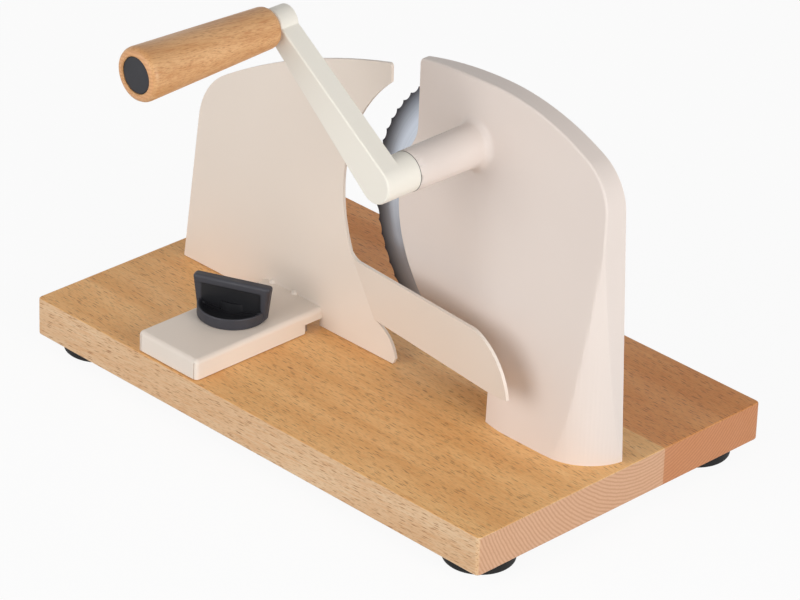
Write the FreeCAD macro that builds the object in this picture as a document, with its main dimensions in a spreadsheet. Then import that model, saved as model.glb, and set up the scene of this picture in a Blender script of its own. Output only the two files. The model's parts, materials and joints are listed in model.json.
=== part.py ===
import FreeCAD, Part
import math
import os

import Sketcher

Vector = FreeCAD.Vector
Rotation = FreeCAD.Rotation

# Bread slicer with a hand crank: a wooden base board on four feet, a cast housing that carries a
# round toothed blade behind it and a pair of gears inside it, a folded sheet fence that slides on
# a rail and is held by a knob. X runs along the board, Y to the back, Z up, millimetres.
# The origin lies on the surface that the feet stand on, under the middle of the board.

SIZES = {
    # Board, feet and their screws
    "board_length": 380,
    "board_width": 237,
    "board_thickness": 25,
    "board_corner": 3,
    "board_edge": 1.2,
    "foot_radius": 21.5,
    "foot_height": 9,
    "foot_edge": 1.5,
    "foot_inset_side": 25.6,
    "foot_inset_front": 27.5,
    "foot_screw_radius": 2.2,
    "foot_screw_length": 20,
    "foot_head_radius": 4.5,
    "foot_head_height": 3,
    "fit_gap": 0.05,
    "seat_gap": 0.02,
    # Blade and its bearing
    "blade_radius": 100,
    "blade_thickness": 1.2,
    "blade_axis_across": 75,
    "blade_floor_gap": 1.5,
    "blade_back_gap": 0.6,
    "blade_bevel": 11,
    "blade_edge_thickness": 0.3,
    "tooth_count": 70,
    "tooth_depth": 2,
    "tooth_land": 0.3,
    "axle_radius": 5,
    "axle_depth": 7,
    "axle_head_radius": 10,
    "axle_head_height": 2,
    "bush_wall": 3,
    "blade_screw_radius": 2,
    "blade_screw_circle": 20,
    "blade_screw_head": 3.6,
    "blade_screw_head_height": 1.5,
    # Gears
    "gear_module": 1.5,
    "crank_teeth": 38,
    "blade_teeth": 48,
    "gear_width": 4,
    "gear_backlash": 0.3,
    "gear_front_gap": 0.3,
    "flange_radius": 30,
    "crank_offset": 6.5,
    # Housing
    "housing_back": 5,
    "housing_wall": 2,
    "housing_left": 13.5,
    "housing_foot_left": 98.5,
    "housing_foot_right": 183.9,
    "housing_blade_show": 23,
    "housing_blend": 25,
    "housing_foot_blend": 8,
    "housing_top": 205.7,
    "housing_top_across": 80,
    "top_left_radius": 275,
    "top_right_radius": 165,
    "top_corner_radius": 35,
    "left_corner_radius": 4,
    "side_lean": 3.2,
    "front_depth": 24,
    "front_lean": 4.75,
    "lip_front": 1.5,
    "ramp_start": -2,
    "ramp_end": 104,
    "ramp_radius": 352,
    "side_round_start": 150,
    "side_round_radius": 34.2,
    "boss_mouth_radius": 12.3,
    "boss_root_radius": 13.1,
    "boss_front": 63.5,
    "boss_root_round": 5,
    "front_crease": 6,
    "rim_round": 1.5,
    "inner_boss_radius": 9,
    "pillar_radius": 3.6,
    "pillar_bore": 1.25,
    "pillar_bore_depth": 4,
    "foot_boss_radius": 5,
    "foot_boss_height": 18,
    "foot_boss_left": 14,
    "foot_boss_right": 24,
    "pillar_side": 12,
    "pillar_top": 23,
    "pillar_shoulder": 40,
    "pillar_right": 19,
    "pillar_low": 30,
    "pillar_left": 10,
    "pillar_mid": 44,
    # Back plate
    "plate_thickness": 1.4,
    "plate_gap": 0.15,
    "plate_opening_gap": 1,
    "plate_head_radius": 2.4,
    "plate_head_height": 0.7,
    # Screws through the board
    "board_screw_radius": 2.2,
    "board_screw_reach": 13,
    "board_head_radius": 4.5,
    "board_head_height": 3,
    "board_head_depth": 8,
    # Crank and handle
    "shaft_radius": 4,
    "shaft_bush_length": 16,
    "crank_radius": 110.3,
    "crank_angle": 142.1,
    "crank_hub_radius": 12,
    "crank_hub_gap": 0.3,
    "arm_front": 89.5,
    "arm_thickness": 13,
    "arm_tip_radius": 6.4,
    "arm_eye_radius": 9.6,
    "arm_edge": 1.2,
    "set_screw_radius": 2.5,
    "handle_gap": 1,
    "handle_length": 101,
    "handle_arm_radius": 12.5,
    "handle_end_radius": 16.2,
    "handle_arm_round": 4,
    "handle_end_round": 4.6,
    "cap_radius": 11,
    "cap_thickness": 3.5,
    "cap_edge": 1,
    "spindle_head_radius": 7,
    "spindle_head_height": 3,
    # Fence
    "sheet": 2,
    "fence_front": 14,
    "fence_floor_gap": 0.5,
    "fence_left_foot": 172,
    "fence_left_lean": 6.8,
    "fence_corner_radius": 48,
    "fence_top_radius": 500,
    "fence_top_lean": 13.8,
    "fence_right": 4.5,
    "fence_right_edge": 11.7,
    "fence_right_round": 2,
    "throat_gap": 7.7,
    "bend_top_across": 24.6,
    "bend_top_height": 60.5,
    "bend_foot_across": 2.8,
    "bend_foot_height": 23.7,
    "bend_angle": 12.5,
    "lobe_radius": 25,
    "lobe_across": 15.8,
    "lobe_height": 4.4,
    "finger_root_radius": 12,
    "finger_reach": 139.1,
    "finger_foot_rise": 10.2,
    "finger_tip_height": 21.6,
    "finger_tip_drop": 26,
    "finger_shoulder": 109.2,
    "finger_tip_radius": 34,
    # Carriage folded from the same sheet, its rail and clamp
    "box_left": 99.7,
    "box_width": 52.1,
    "box_front": 116.5,
    "box_height": 13.4,
    "box_bend": 3,
    "notch_height": 6,
    "notch_length": 14,
    "rail_gap": 0.4,
    "rail_height": 11,
    "rail_front": 98,
    "rail_rear": 24,
    "slot_front": 84,
    "slot_width": 6.6,
    "slot_floor": 2.5,
    "slot_lip": 3,
    "slot_undercut": 16,
    "rail_screw_across": 16,
    "rail_screw_front": 88,
    "rail_screw_rear": 36,
    "knob_across": 77.5,
    "knob_front": 60.2,
    "knob_radius": 21.6,
    "knob_height": 7.35,
    "knob_gap": 0.1,
    "knob_edge": 0.8,
    "knob_dish": 2.5,
    "wing_length": 48,
    "wing_thickness": 7,
    "wing_rise": 20.6,
    "wing_corner": 5,
    "wing_angle": 26,
    "wing_post": 4,
    "wing_lip": 4.5,
    "wing_hollow": 1.6,
    "stud_radius": 3,
    "washer_radius": 10,
    "washer_thickness": 1,
    "nut_length": 14,
    "nut_height": 4.6,
    "nut_gap": 0.2,
}


class Size:
    """A length or angle that keeps the sheet expression it comes from beside its value."""

    def __init__(self, text, value):
        self.text = text
        self.value = float(value)

    def __add__(self, other):
        return Size(f"({self.text} + {text_of(other)})", self.value + value_of(other))

    def __radd__(self, other):
        return Size(f"({text_of(other)} + {self.text})", value_of(other) + self.value)

    def __sub__(self, other):
        return Size(f"({self.text} - {text_of(other)})", self.value - value_of(other))

    def __rsub__(self, other):
        return Size(f"({text_of(other)} - {self.text})", value_of(other) - self.value)

    def __mul__(self, other):
        return Size(f"({self.text} * {text_of(other)})", self.value * value_of(other))

    def __rmul__(self, other):
        return Size(f"({text_of(other)} * {self.text})", value_of(other) * self.value)

    def __truediv__(self, other):
        return Size(f"({self.text} / {text_of(other)})", self.value / value_of(other))

    def __rtruediv__(self, other):
        return Size(f"({text_of(other)} / {self.text})", value_of(other) / self.value)

    def __neg__(self):
        return Size(f"(0 - {self.text})", -self.value)


def value_of(size):
    return size.value if isinstance(size, Size) else float(size)


def text_of(size):
    return size.text if isinstance(size, Size) else f"{float(size):.6g}"


def root(size):
    return Size(f"sqrt({size.text})", math.sqrt(size.value))


def sine(size):
    return Size(f"sin({text_of(size)})", math.sin(math.radians(value_of(size))))


def cosine(size):
    return Size(f"cos({text_of(size)})", math.cos(math.radians(value_of(size))))


def tangent(size):
    return Size(f"tan({text_of(size)})", math.tan(math.radians(value_of(size))))


def arc_cosine(size):
    return Size(f"(acos({text_of(size)}) / 1 deg)", math.degrees(math.acos(value_of(size))))


def square(size):
    return size * size


doc = FreeCAD.newDocument("BreadSlicer")
sheet = doc.addObject("Spreadsheet::Sheet", "Sizes")
for row, (alias, number) in enumerate(SIZES.items(), start=1):
    sheet.set(f"A{row}", str(number))
    sheet.setAlias(f"A{row}", alias)
doc.recompute()


class Sheet:
    """The cells of the sheet by name."""

    def __getattr__(self, alias):
        return Size(f"Sizes.{alias}", sheet.get(alias))


d = Sheet()
PARTS = []


def keep(item, name):
    """Mark an object as a piece of its own, exported under its label."""
    item.Label = name
    PARTS.append(item)
    return item


def bind(item, prop, size):
    if isinstance(size, Size):
        item.setExpression(prop, size.text)
    elif prop.startswith("Placement"):
        setattr(item.Placement.Base, prop[-1], float(size))
    else:
        setattr(item, prop, float(size))


def place(item, x, y, z, turn=None):
    """Put an object at a point, turned as given, with its position bound to the sheet."""
    turn = turn or Rotation()
    item.Placement = FreeCAD.Placement(Vector(value_of(x), value_of(y), value_of(z)), turn)
    for axis, size in zip("xyz", (x, y, z)):
        if isinstance(size, Size):
            item.setExpression(f"Placement.Base.{axis}", size.text)
    return item


# Local Z towards the front, local X to the right, local Y up
TO_FRONT = Rotation(Vector(1, 0, 0), 90)
# Local X to the back, local Y up, local Z to the right
TO_RIGHT = Rotation(Vector(1, 1, 1), 120)


def box(name, low, high):
    """A block between two corners."""
    item = doc.addObject("Part::Box", name)
    for prop, start, end in zip(("Length", "Width", "Height"), low, high):
        bind(item, prop, end - start)
    return place(item, *low)


def rod(name, radius, height, at, turn=None):
    """A round bar that starts at a point and runs along local Z."""
    item = doc.addObject("Part::Cylinder", name)
    bind(item, "Radius", radius)
    bind(item, "Height", height)
    return place(item, *at, turn)


def front_rod(name, radius, back, front, x, z):
    """A round bar along Y, between two distances in front of the blade side."""
    return rod(name, radius, front - back, (x, -back, z), TO_FRONT)


def cone(name, radius_start, radius_end, height, at, turn=None):
    item = doc.addObject("Part::Cone", name)
    bind(item, "Radius1", radius_start)
    bind(item, "Radius2", radius_end)
    bind(item, "Height", height)
    return place(item, *at, turn)


def fuse(name, *shapes):
    item = doc.addObject("Part::MultiFuse", name)
    item.Shapes = list(shapes)
    item.Refine = True
    return item


def cut(name, base, *tools):
    item = doc.addObject("Part::Cut", name)
    item.Base = base
    item.Tool = tools[0] if len(tools) == 1 else fuse(f"{name}_tools", *tools)
    return item


def common(name, *shapes):
    item = doc.addObject("Part::MultiCommon", name)
    item.Shapes = list(shapes)
    return item


def group(name, *shapes):
    item = doc.addObject("Part::Compound", name)
    item.Links = list(shapes)
    return item


def round_edges(name, base, radius, wanted):
    """Round the edges of a finished shape that the test picks."""
    doc.recompute()
    shape = base.Shape
    numbers = [i for i, edge in enumerate(shape.Edges, start=1) if wanted(edge, shape)]
    if not numbers:
        raise ValueError(f"{name}: no edge to round")
    item = doc.addObject("Part::Fillet", name)
    item.Base = base
    item.Edges = [(i, value_of(radius), value_of(radius)) for i in numbers]
    return item


def origin_plane(body, role):
    return [item for item in body.Origin.OriginFeatures if item.Role == role][0]


def sketch(body, name, path, offset=None, role="XY_Plane"):
    """A closed outline. Each entry is x, y and, for an arc to the next point, its radius:
    positive where the arc turns left and negative where it turns right."""
    item = body.newObject("Sketcher::SketchObject", name)
    item.AttachmentSupport = [(origin_plane(body, role), "")]
    item.MapMode = "FlatFace"
    if offset is not None:
        item.AttachmentOffset = FreeCAD.Placement(Vector(0, 0, value_of(offset)), Rotation())
        if isinstance(offset, Size):
            item.setExpression("AttachmentOffset.Base.z", offset.text)
    ends = []
    count = len(path)
    for i, node in enumerate(path):
        after = path[(i + 1) % count]
        start = Vector(value_of(node[0]), value_of(node[1]), 0)
        end = Vector(value_of(after[0]), value_of(after[1]), 0)
        if len(node) == 3:
            radius = value_of(node[2])
            chord = end - start
            left = Vector(-chord.y, chord.x, 0).normalize()
            side = 1 if radius > 0 else -1
            rise = math.sqrt(radius**2 - (chord.Length / 2) ** 2)
            centre = (start + end) / 2 + left * side * rise
            middle = centre - left * side * abs(radius)
            index = item.addGeometry(Part.Arc(start, middle, end), False)
            ends.append((index, 1, 2) if radius > 0 else (index, 2, 1))
        else:
            index = item.addGeometry(Part.LineSegment(start, end), False)
            ends.append((index, 1, 2))
    for i, (index, first, last) in enumerate(ends):
        after = ends[(i + 1) % count]
        item.addConstraint(Sketcher.Constraint("Coincident", index, last, after[0], after[1]))
    for (index, first, last), node in zip(ends, path):
        for kind, size in zip(("DistanceX", "DistanceY"), node[:2]):
            number = item.addConstraint(Sketcher.Constraint(kind, index, first, value_of(size)))
            if isinstance(size, Size):
                item.setExpression(f"Constraints[{number}]", size.text)
        if len(node) == 3:
            radius = abs(value_of(node[2]))
            number = item.addConstraint(Sketcher.Constraint("Radius", index, radius))
            if isinstance(node[2], Size):
                text = node[2].text if node[2].value > 0 else f"0 - {node[2].text}"
                item.setExpression(f"Constraints[{number}]", text)
    return item


def new_body(name):
    return doc.addObject("PartDesign::Body", name)


def pad(body, name, outline, length):
    item = body.newObject("PartDesign::Pad", name)
    item.Profile = outline
    bind(item, "Length", length)
    return item


def pocket(body, name, outline):
    """A cut right through, both ways from the outline."""
    item = body.newObject("PartDesign::Pocket", name)
    item.Profile = outline
    item.Type = "ThroughAll"
    item.Midplane = True
    return item


def turned(name, path):
    """A body turned about its local Z from an outline of radius and height."""
    body = new_body(name)
    outline = sketch(body, f"{name}_outline", path, role="XZ_Plane")
    item = body.newObject("PartDesign::Revolution", f"{name}_turn")
    item.Profile = outline
    item.ReferenceAxis = (outline, ["V_Axis"])
    item.Angle = 360
    return body


def repeat_round(body, name, feature, outline, count):
    """Repeat a cut around the local Z axis."""
    item = body.newObject("PartDesign::PolarPattern", name)
    item.Originals = [feature]
    item.Axis = (outline, ["N_Axis"])
    item.Angle = 360
    item.Occurrences = int(value_of(count))
    body.Tip = item
    return item


# Heights and axes shared by several pieces
board_top = d.foot_height + d.board_thickness
blade_x = d.blade_axis_across
blade_z = board_top + d.blade_radius + d.blade_floor_gap
gear_distance = d.gear_module * (d.crank_teeth + d.blade_teeth) / 2
crank_x = blade_x - d.crank_offset
crank_z = blade_z + root(square(gear_distance) - square(d.crank_offset))
# Distances along the axes count towards the front from Y zero
back_face = -d.housing_back
blade_front = back_face - d.blade_back_gap
blade_rear = blade_front - d.blade_thickness
plate_front = back_face + d.plate_thickness
gear_rear = plate_front + 1.4
gear_front = gear_rear + d.gear_width
inner_boss_rear = gear_front + d.gear_front_gap

# Base board with rounded edges and the holes for the screws that come up through it
board_body = new_body("board_body")
half_length = d.board_length / 2
half_width = d.board_width / 2
board_outline = sketch(
    board_body,
    "board_outline",
    [
        (-half_length, -half_width),
        (half_length, -half_width),
        (half_length, half_width),
        (-half_length, half_width),
    ],
    d.foot_height,
)
board_pad = pad(board_body, "board_pad", board_outline, d.board_thickness)
doc.recompute()
board_corners = board_body.newObject("PartDesign::Fillet", "board_corners")
board_corners.Base = (
    board_pad,
    [
        f"Edge{i}"
        for i, edge in enumerate(board_pad.Shape.Edges, start=1)
        if abs(edge.tangentAt(edge.FirstParameter).z) > 0.99
    ],
)
bind(board_corners, "Radius", d.board_corner)
doc.recompute()
board_rims = board_body.newObject("PartDesign::Fillet", "board_rims")
board_rims.Base = (
    board_corners,
    [
        f"Edge{i}"
        for i, edge in enumerate(board_corners.Shape.Edges, start=1)
        if edge.BoundBox.ZLength < 0.01
    ],
)
bind(board_rims, "Radius", d.board_edge)
doc.recompute()

foot_x = half_length - d.foot_inset_side
foot_y = half_width - d.foot_inset_front
foot_places = [(sx * foot_x, sy * foot_y) for sx in (-1, 1) for sy in (-1, 1)]
rail_x = -d.box_left + d.box_width / 2
rail_screw_places = [
    (rail_x - d.rail_screw_across, -d.rail_screw_front),
    (rail_x + d.rail_screw_across, -d.rail_screw_rear),
]
foot_boss_front = d.front_depth - d.foot_boss_radius - 1
housing_screw_places = [
    (d.housing_foot_left + d.foot_boss_left, -foot_boss_front),
    (d.housing_foot_right - d.foot_boss_right, -foot_boss_front),
]

board_cuts = []
for i, (x, y) in enumerate(foot_places):
    board_cuts.append(
        rod(
            f"foot_hole_{i}",
            d.foot_screw_radius + d.fit_gap,
            d.foot_screw_length + d.foot_head_height,
            (x, y, d.foot_head_height),
        )
    )
for i, (x, y) in enumerate(rail_screw_places + housing_screw_places):
    radius = d.board_screw_radius + d.fit_gap
    board_cuts.append(rod(f"through_hole_{i}", radius, board_top, (x, y, 0)))
    board_cuts.append(
        rod(f"head_well_{i}", d.board_head_radius + 0.5, d.board_head_depth, (x, y, d.foot_height))
    )
keep(cut("board_bored", board_body, *board_cuts), "base_board")

feet = []
foot_screws = []
for i, (x, y) in enumerate(foot_places):
    foot = turned(
        f"foot_{i}",
        [
            (d.foot_head_radius + d.fit_gap, 0),
            (d.foot_radius - d.foot_edge, 0),
            (d.foot_radius, d.foot_edge),
            (d.foot_radius, d.foot_height),
            (d.foot_screw_radius + d.fit_gap, d.foot_height),
            (d.foot_screw_radius + d.fit_gap, d.foot_head_height * 2),
            (d.foot_head_radius + d.fit_gap, d.foot_head_height * 2),
        ],
    )
    feet.append(place(foot, x, y, 0))
    head = rod(f"foot_head_{i}", d.foot_head_radius, d.foot_head_height, (x, y, d.foot_head_height))
    stem = rod(
        f"foot_stem_{i}",
        d.foot_screw_radius,
        d.foot_screw_length - 1,
        (x, y, d.foot_head_height + d.foot_head_height / 2),
    )
    foot_screws.append(fuse(f"foot_screw_{i}", head, stem))
keep(group("feet", *feet), "rubber_feet")
keep(group("foot_fixings", *foot_screws), "foot_screws")


def board_screw(name, x, y):
    """A screw whose head sits in the underside of the board."""
    bottom = d.foot_height + d.board_head_depth - d.board_head_height
    head = rod(f"{name}_head", d.board_head_radius, d.board_head_height, (x, y, bottom))
    length = board_top + d.board_screw_reach - bottom
    if name.startswith("rail"):
        length = board_top + d.slot_floor + d.rail_height / 3 - bottom
    stem = rod(f"{name}_stem", d.board_screw_radius, length, (x, y, bottom))
    return fuse(name, head, stem)


keep(
    group("rail_fixings", *[board_screw(f"rail_{i}", *xy) for i, xy in enumerate(rail_screw_places)]),
    "rail_screws",
)
keep(
    group(
        "housing_fixings",
        *[board_screw(f"housing_{i}", *xy) for i, xy in enumerate(housing_screw_places)],
    ),
    "housing_screws",
)


def housing_outline(inset, low):
    """The housing seen from the front, drawn in by an even margin."""
    left = d.housing_left + inset
    foot_left = d.housing_foot_left + inset
    rim = d.blade_radius - d.housing_blade_show - inset
    # Round the foot: a hollow corner between the left side of the foot and the rim arc
    hollow = d.housing_foot_blend + inset
    hollow_x = foot_left - hollow
    reach = rim + hollow
    hollow_z = blade_z - root(square(reach) - square(hollow_x - blade_x))
    hollow_end_x = blade_x + (hollow_x - blade_x) * rim / reach
    hollow_end_z = blade_z + (hollow_z - blade_z) * rim / reach
    # Hollow blend between the rim arc and the left side
    blend = d.housing_blend + inset
    blend_x = left - blend
    reach = rim + blend
    blend_z = blade_z + root(square(reach) - square(blend_x - blade_x))
    blend_end_x = blade_x + (blend_x - blade_x) * rim / reach
    blend_end_z = blade_z + (blend_z - blade_z) * rim / reach
    # Two arcs over the top meet above one point
    top_x = d.housing_top_across
    top_z = board_top + d.housing_top
    radius_left = d.top_left_radius
    centre_left = top_z - radius_left
    corner = d.left_corner_radius - inset
    corner_x = left + corner
    reach = radius_left - inset - corner
    corner_z = centre_left + root(square(reach) - square(corner_x - top_x))
    corner_end_x = top_x + (corner_x - top_x) * (radius_left - inset) / reach
    corner_end_z = centre_left + (corner_z - centre_left) * (radius_left - inset) / reach
    # Large corner between the top and the leaning right side
    lean_x = cosine(d.side_lean)
    lean_z = sine(d.side_lean)
    radius_right = d.top_right_radius
    centre_right = top_z - radius_right
    side = d.housing_foot_right * lean_x + board_top * lean_z - inset
    round_radius = d.top_corner_radius - inset
    across = side - round_radius - (top_x * lean_x + centre_right * lean_z)
    along = root(square(radius_right - inset - round_radius) - square(across))
    round_x = top_x + across * lean_x - along * lean_z
    round_z = centre_right + across * lean_z + along * lean_x
    reach = radius_right - inset - round_radius
    round_start_x = top_x + (round_x - top_x) * (radius_right - inset) / reach
    round_start_z = centre_right + (round_z - centre_right) * (radius_right - inset) / reach
    round_end_x = round_x + round_radius * lean_x
    round_end_z = round_z + round_radius * lean_z
    right_x = (side - low * lean_z) / lean_x
    return [
        (foot_left, low),
        (foot_left, hollow_z, hollow),
        (hollow_end_x, hollow_end_z, -rim),
        (blend_end_x, blend_end_z, blend),
        (left, blend_z),
        (left, corner_z, -corner),
        (corner_end_x, corner_end_z, inset - radius_left),
        (top_x, top_z - inset, inset - radius_right),
        (round_start_x, round_start_z, -round_radius),
        (round_end_x, round_end_z),
        (right_x, low),
    ]


def housing_form(name, inset, low, rear):
    """The solid form: front outline, plan section and leaning front face together."""
    front = d.front_depth * 1.4
    side = new_body(f"{name}_side")
    side_sketch = sketch(side, f"{name}_side_outline", housing_outline(inset, low))
    pad(side, f"{name}_side_pad", side_sketch, front - rear)
    place(side, 0, -rear, 0, TO_FRONT)
    plan = new_body(f"{name}_plan")
    far_left = d.ramp_start - d.front_depth / 2
    round_x = d.side_round_start
    round_y = d.side_round_radius - d.front_depth
    radius = d.side_round_radius - inset
    end_x = round_x + root(square(radius) - square(d.housing_back - round_y))
    plan_sketch = sketch(
        plan,
        f"{name}_plan_outline",
        [
            (far_left, -rear),
            (far_left, inset + d.lip_front),
            (d.ramp_start, inset + d.lip_front, -d.ramp_radius),
            (d.ramp_end, inset - d.front_depth),
            (round_x, inset - d.front_depth, radius),
            (end_x, d.housing_back),
            (end_x, -rear + 0.01),
        ],
        low - 5,
    )
    pad(plan, f"{name}_plan_pad", plan_sketch, board_top + d.housing_top * 1.1 - low)
    lean = new_body(f"{name}_lean")
    shift = inset / cosine(d.front_lean)
    tall = d.housing_top * 1.1
    deep = d.housing_wall * 5
    lean_sketch = sketch(
        lean,
        f"{name}_lean_outline",
        [
            (shift - d.front_depth - deep * tangent(d.front_lean), board_top - deep),
            (d.front_depth * 2, board_top - deep),
            (d.front_depth * 2, board_top + tall),
            (shift - d.front_depth + tall * tangent(d.front_lean), board_top + tall),
        ],
        d.ramp_start - d.front_depth,
    )
    pad(lean, f"{name}_lean_pad", lean_sketch, d.housing_foot_right + d.front_depth * 3 - d.ramp_start)
    place(lean, 0, 0, 0, TO_RIGHT)
    return common(name, side, plan, lean)


# Housing: a thin-walled casting, open below and behind, with bosses and screw pillars
wall = d.housing_wall
boss_start = d.front_depth / 8
sharp_form = housing_form("housing_outside", d.fit_gap * 0, board_top, back_face)


def middle_of(edge):
    return edge.valueAt((edge.FirstParameter + edge.LastParameter) / 2)


def is_crease(edge, shape):
    """The long edge between the hollow ramp and the leaning front."""
    middle = middle_of(edge)
    inside = d.ramp_start.value < middle.x < d.ramp_end.value
    return inside and edge.Length > d.housing_top.value * 0.8 and middle.y < 0


def is_rim(edge, shape):
    """An edge between the rim, which runs straight back, and the front of the housing."""
    middle = middle_of(edge)
    if edge.BoundBox.ZMax < board_top.value + 0.01 or middle.y > d.housing_back.value - 0.1:
        return False
    slopes = []
    for face in shape.Faces:
        if any(other.isSame(edge) for other in face.Edges):
            u, v = face.Surface.parameter(middle)
            slopes.append(abs(face.normalAt(u, v).y))
    return len(slopes) == 2 and min(slopes) < 0.001 < max(slopes)


def is_boss_root(edge, shape):
    """An edge where the crank boss meets the front."""
    low, high = d.boss_mouth_radius.value, d.boss_root_radius.value + 0.1
    for i in range(5):
        spot = edge.valueAt(edge.FirstParameter + (edge.LastParameter - edge.FirstParameter) * i / 4)
        away = math.hypot(spot.x - crank_x.value, spot.z - crank_z.value)
        if not low < away < high or spot.y < -d.boss_front.value / 2:
            return False
    return type(edge.Curve).__name__ != "Line" and middle_of(edge).y < -boss_start.value - 0.5


creased_form = round_edges("housing_creased", sharp_form, d.front_crease, is_crease)
form = round_edges("housing_rimmed", creased_form, d.rim_round, is_rim)
core = housing_form("housing_inside", wall, board_top - 1, back_face - 1)
pillar_places = [
    (d.housing_left + d.pillar_side, board_top + d.housing_top - d.pillar_top),
    (d.side_round_start, board_top + d.housing_top - d.pillar_shoulder),
    (d.housing_foot_right - d.pillar_right, board_top + d.pillar_low),
    (d.housing_foot_left + d.pillar_left, board_top + d.pillar_mid),
]
deep = d.front_depth + 5
inner = [
    front_rod("crank_inner_boss", d.inner_boss_radius, inner_boss_rear, deep, crank_x, crank_z),
    front_rod("axle_inner_boss", d.inner_boss_radius, inner_boss_rear, deep, blade_x, blade_z),
]
for i, (x, z) in enumerate(pillar_places):
    inner.append(front_rod(f"pillar_{i}", d.pillar_radius, plate_front, deep, x, z))
for i, (x, y) in enumerate(housing_screw_places):
    inner.append(rod(f"foot_boss_{i}", d.foot_boss_radius, d.foot_boss_height, (x, y, board_top)))
inner_trimmed = common("inner_trimmed", form, fuse("inner_bosses", *inner))
boss = cone(
    "crank_boss",
    d.boss_root_radius,
    d.boss_mouth_radius,
    d.boss_front - boss_start,
    (crank_x, -boss_start, crank_z),
    TO_FRONT,
)
boss_outside = round_edges("boss_rounded", fuse("boss_on_form", form, boss), d.boss_root_round, is_boss_root)
shell = cut("housing_shell", boss_outside, core)
housing_solid = fuse("housing_solid", shell, inner_trimmed)
bush_radius = d.shaft_radius + d.bush_wall
housing_cuts = [
    front_rod("crank_bore", bush_radius + d.seat_gap, 0, d.boss_front + 5, crank_x, crank_z),
    front_rod(
        "axle_bore",
        d.axle_radius + d.seat_gap,
        0,
        inner_boss_rear + d.axle_depth,
        blade_x,
        blade_z,
    ),
]
for i, (x, z) in enumerate(pillar_places):
    housing_cuts.append(
        front_rod(
            f"pillar_bore_{i}",
            d.pillar_bore + d.seat_gap,
            plate_front - 1,
            plate_front + d.pillar_bore_depth,
            x,
            z,
        )
    )
for i, (x, y) in enumerate(housing_screw_places):
    housing_cuts.append(
        rod(
            f"foot_bore_{i}",
            d.board_screw_radius + d.seat_gap,
            d.board_screw_reach + 1,
            (x, y, board_top - 0.5),
        )
    )
keep(cut("housing_bored", housing_solid, *housing_cuts), "housing")

# Back plate let into the housing, with its screws
cover = common(
    "cover_blank",
    housing_form("cover_form", wall + d.plate_gap, board_top + 0.5, back_face),
    box(
        "cover_slab",
        (d.ramp_start - 20, -plate_front, board_top),
        (d.housing_foot_right + 20, d.housing_back, board_top + d.housing_top + 10),
    ),
)
cover_cuts = [
    front_rod(
        "cover_opening",
        d.flange_radius + d.plate_opening_gap,
        back_face - 1,
        plate_front + 1,
        blade_x,
        blade_z,
    )
]
cover_screws = []
for i, (x, z) in enumerate(pillar_places):
    stem_radius = d.pillar_bore
    cover_cuts.append(
        front_rod(
            f"cover_hole_{i}", stem_radius + d.fit_gap, back_face - 1, plate_front + 1, x, z
        )
    )
    cover_cuts.append(
        front_rod(
            f"cover_well_{i}",
            d.plate_head_radius + d.fit_gap,
            back_face - 1,
            back_face + d.plate_head_height,
            x,
            z,
        )
    )
    head = front_rod(
        f"cover_head_{i}", d.plate_head_radius, back_face, back_face + d.plate_head_height, x, z
    )
    stem = front_rod(
        f"cover_stem_{i}",
        stem_radius,
        back_face,
        plate_front + d.pillar_bore_depth - 0.3,
        x,
        z,
    )
    cover_screws.append(fuse(f"cover_screw_{i}", head, stem))
keep(cut("cover_bored", cover, *cover_cuts), "back_plate")
keep(group("cover_fixings", *cover_screws), "back_plate_screws")

# Bearings of the crank shaft, one at each end of the long boss
mouth = front_rod("front_bush_blank", bush_radius, d.boss_front - d.shaft_bush_length, d.boss_front, crank_x, crank_z)
mouth_bore = front_rod("front_bush_bore", d.shaft_radius + d.fit_gap, 0, d.arm_front, crank_x, crank_z)
keep(cut("front_bearing", mouth, mouth_bore), "front_bush")
rear = front_rod("rear_bush_blank", bush_radius, inner_boss_rear, inner_boss_rear + d.shaft_bush_length, crank_x, crank_z)
rear_bore = front_rod("rear_bush_bore", d.shaft_radius + d.fit_gap, 0, d.arm_front, crank_x, crank_z)
keep(cut("rear_bearing", rear, rear_bore), "rear_bush")

# Axle of the blade, held in the housing, and the screw that keeps the blade on it
axle = front_rod(
    "axle_bar",
    d.axle_radius,
    blade_rear - 0.1,
    inner_boss_rear + d.axle_depth - 0.2,
    blade_x,
    blade_z,
)
axle_thread = front_rod(
    "axle_thread", d.blade_screw_radius + d.seat_gap, blade_rear - 1, blade_rear + 9, blade_x, blade_z
)
keep(cut("axle_drilled", axle, axle_thread), "blade_axle")
head_start = blade_rear - 0.1 - d.axle_head_height
keep(
    fuse(
        "axle_screw_solid",
        front_rod("axle_head", d.axle_head_radius, head_start, blade_rear - 0.1, blade_x, blade_z),
        front_rod("axle_stem", d.blade_screw_radius, head_start, blade_rear + 8.5, blade_x, blade_z),
    ),
    "axle_screw",
)


def involute(angle):
    return tangent(angle) - angle * math.pi / 180


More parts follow.
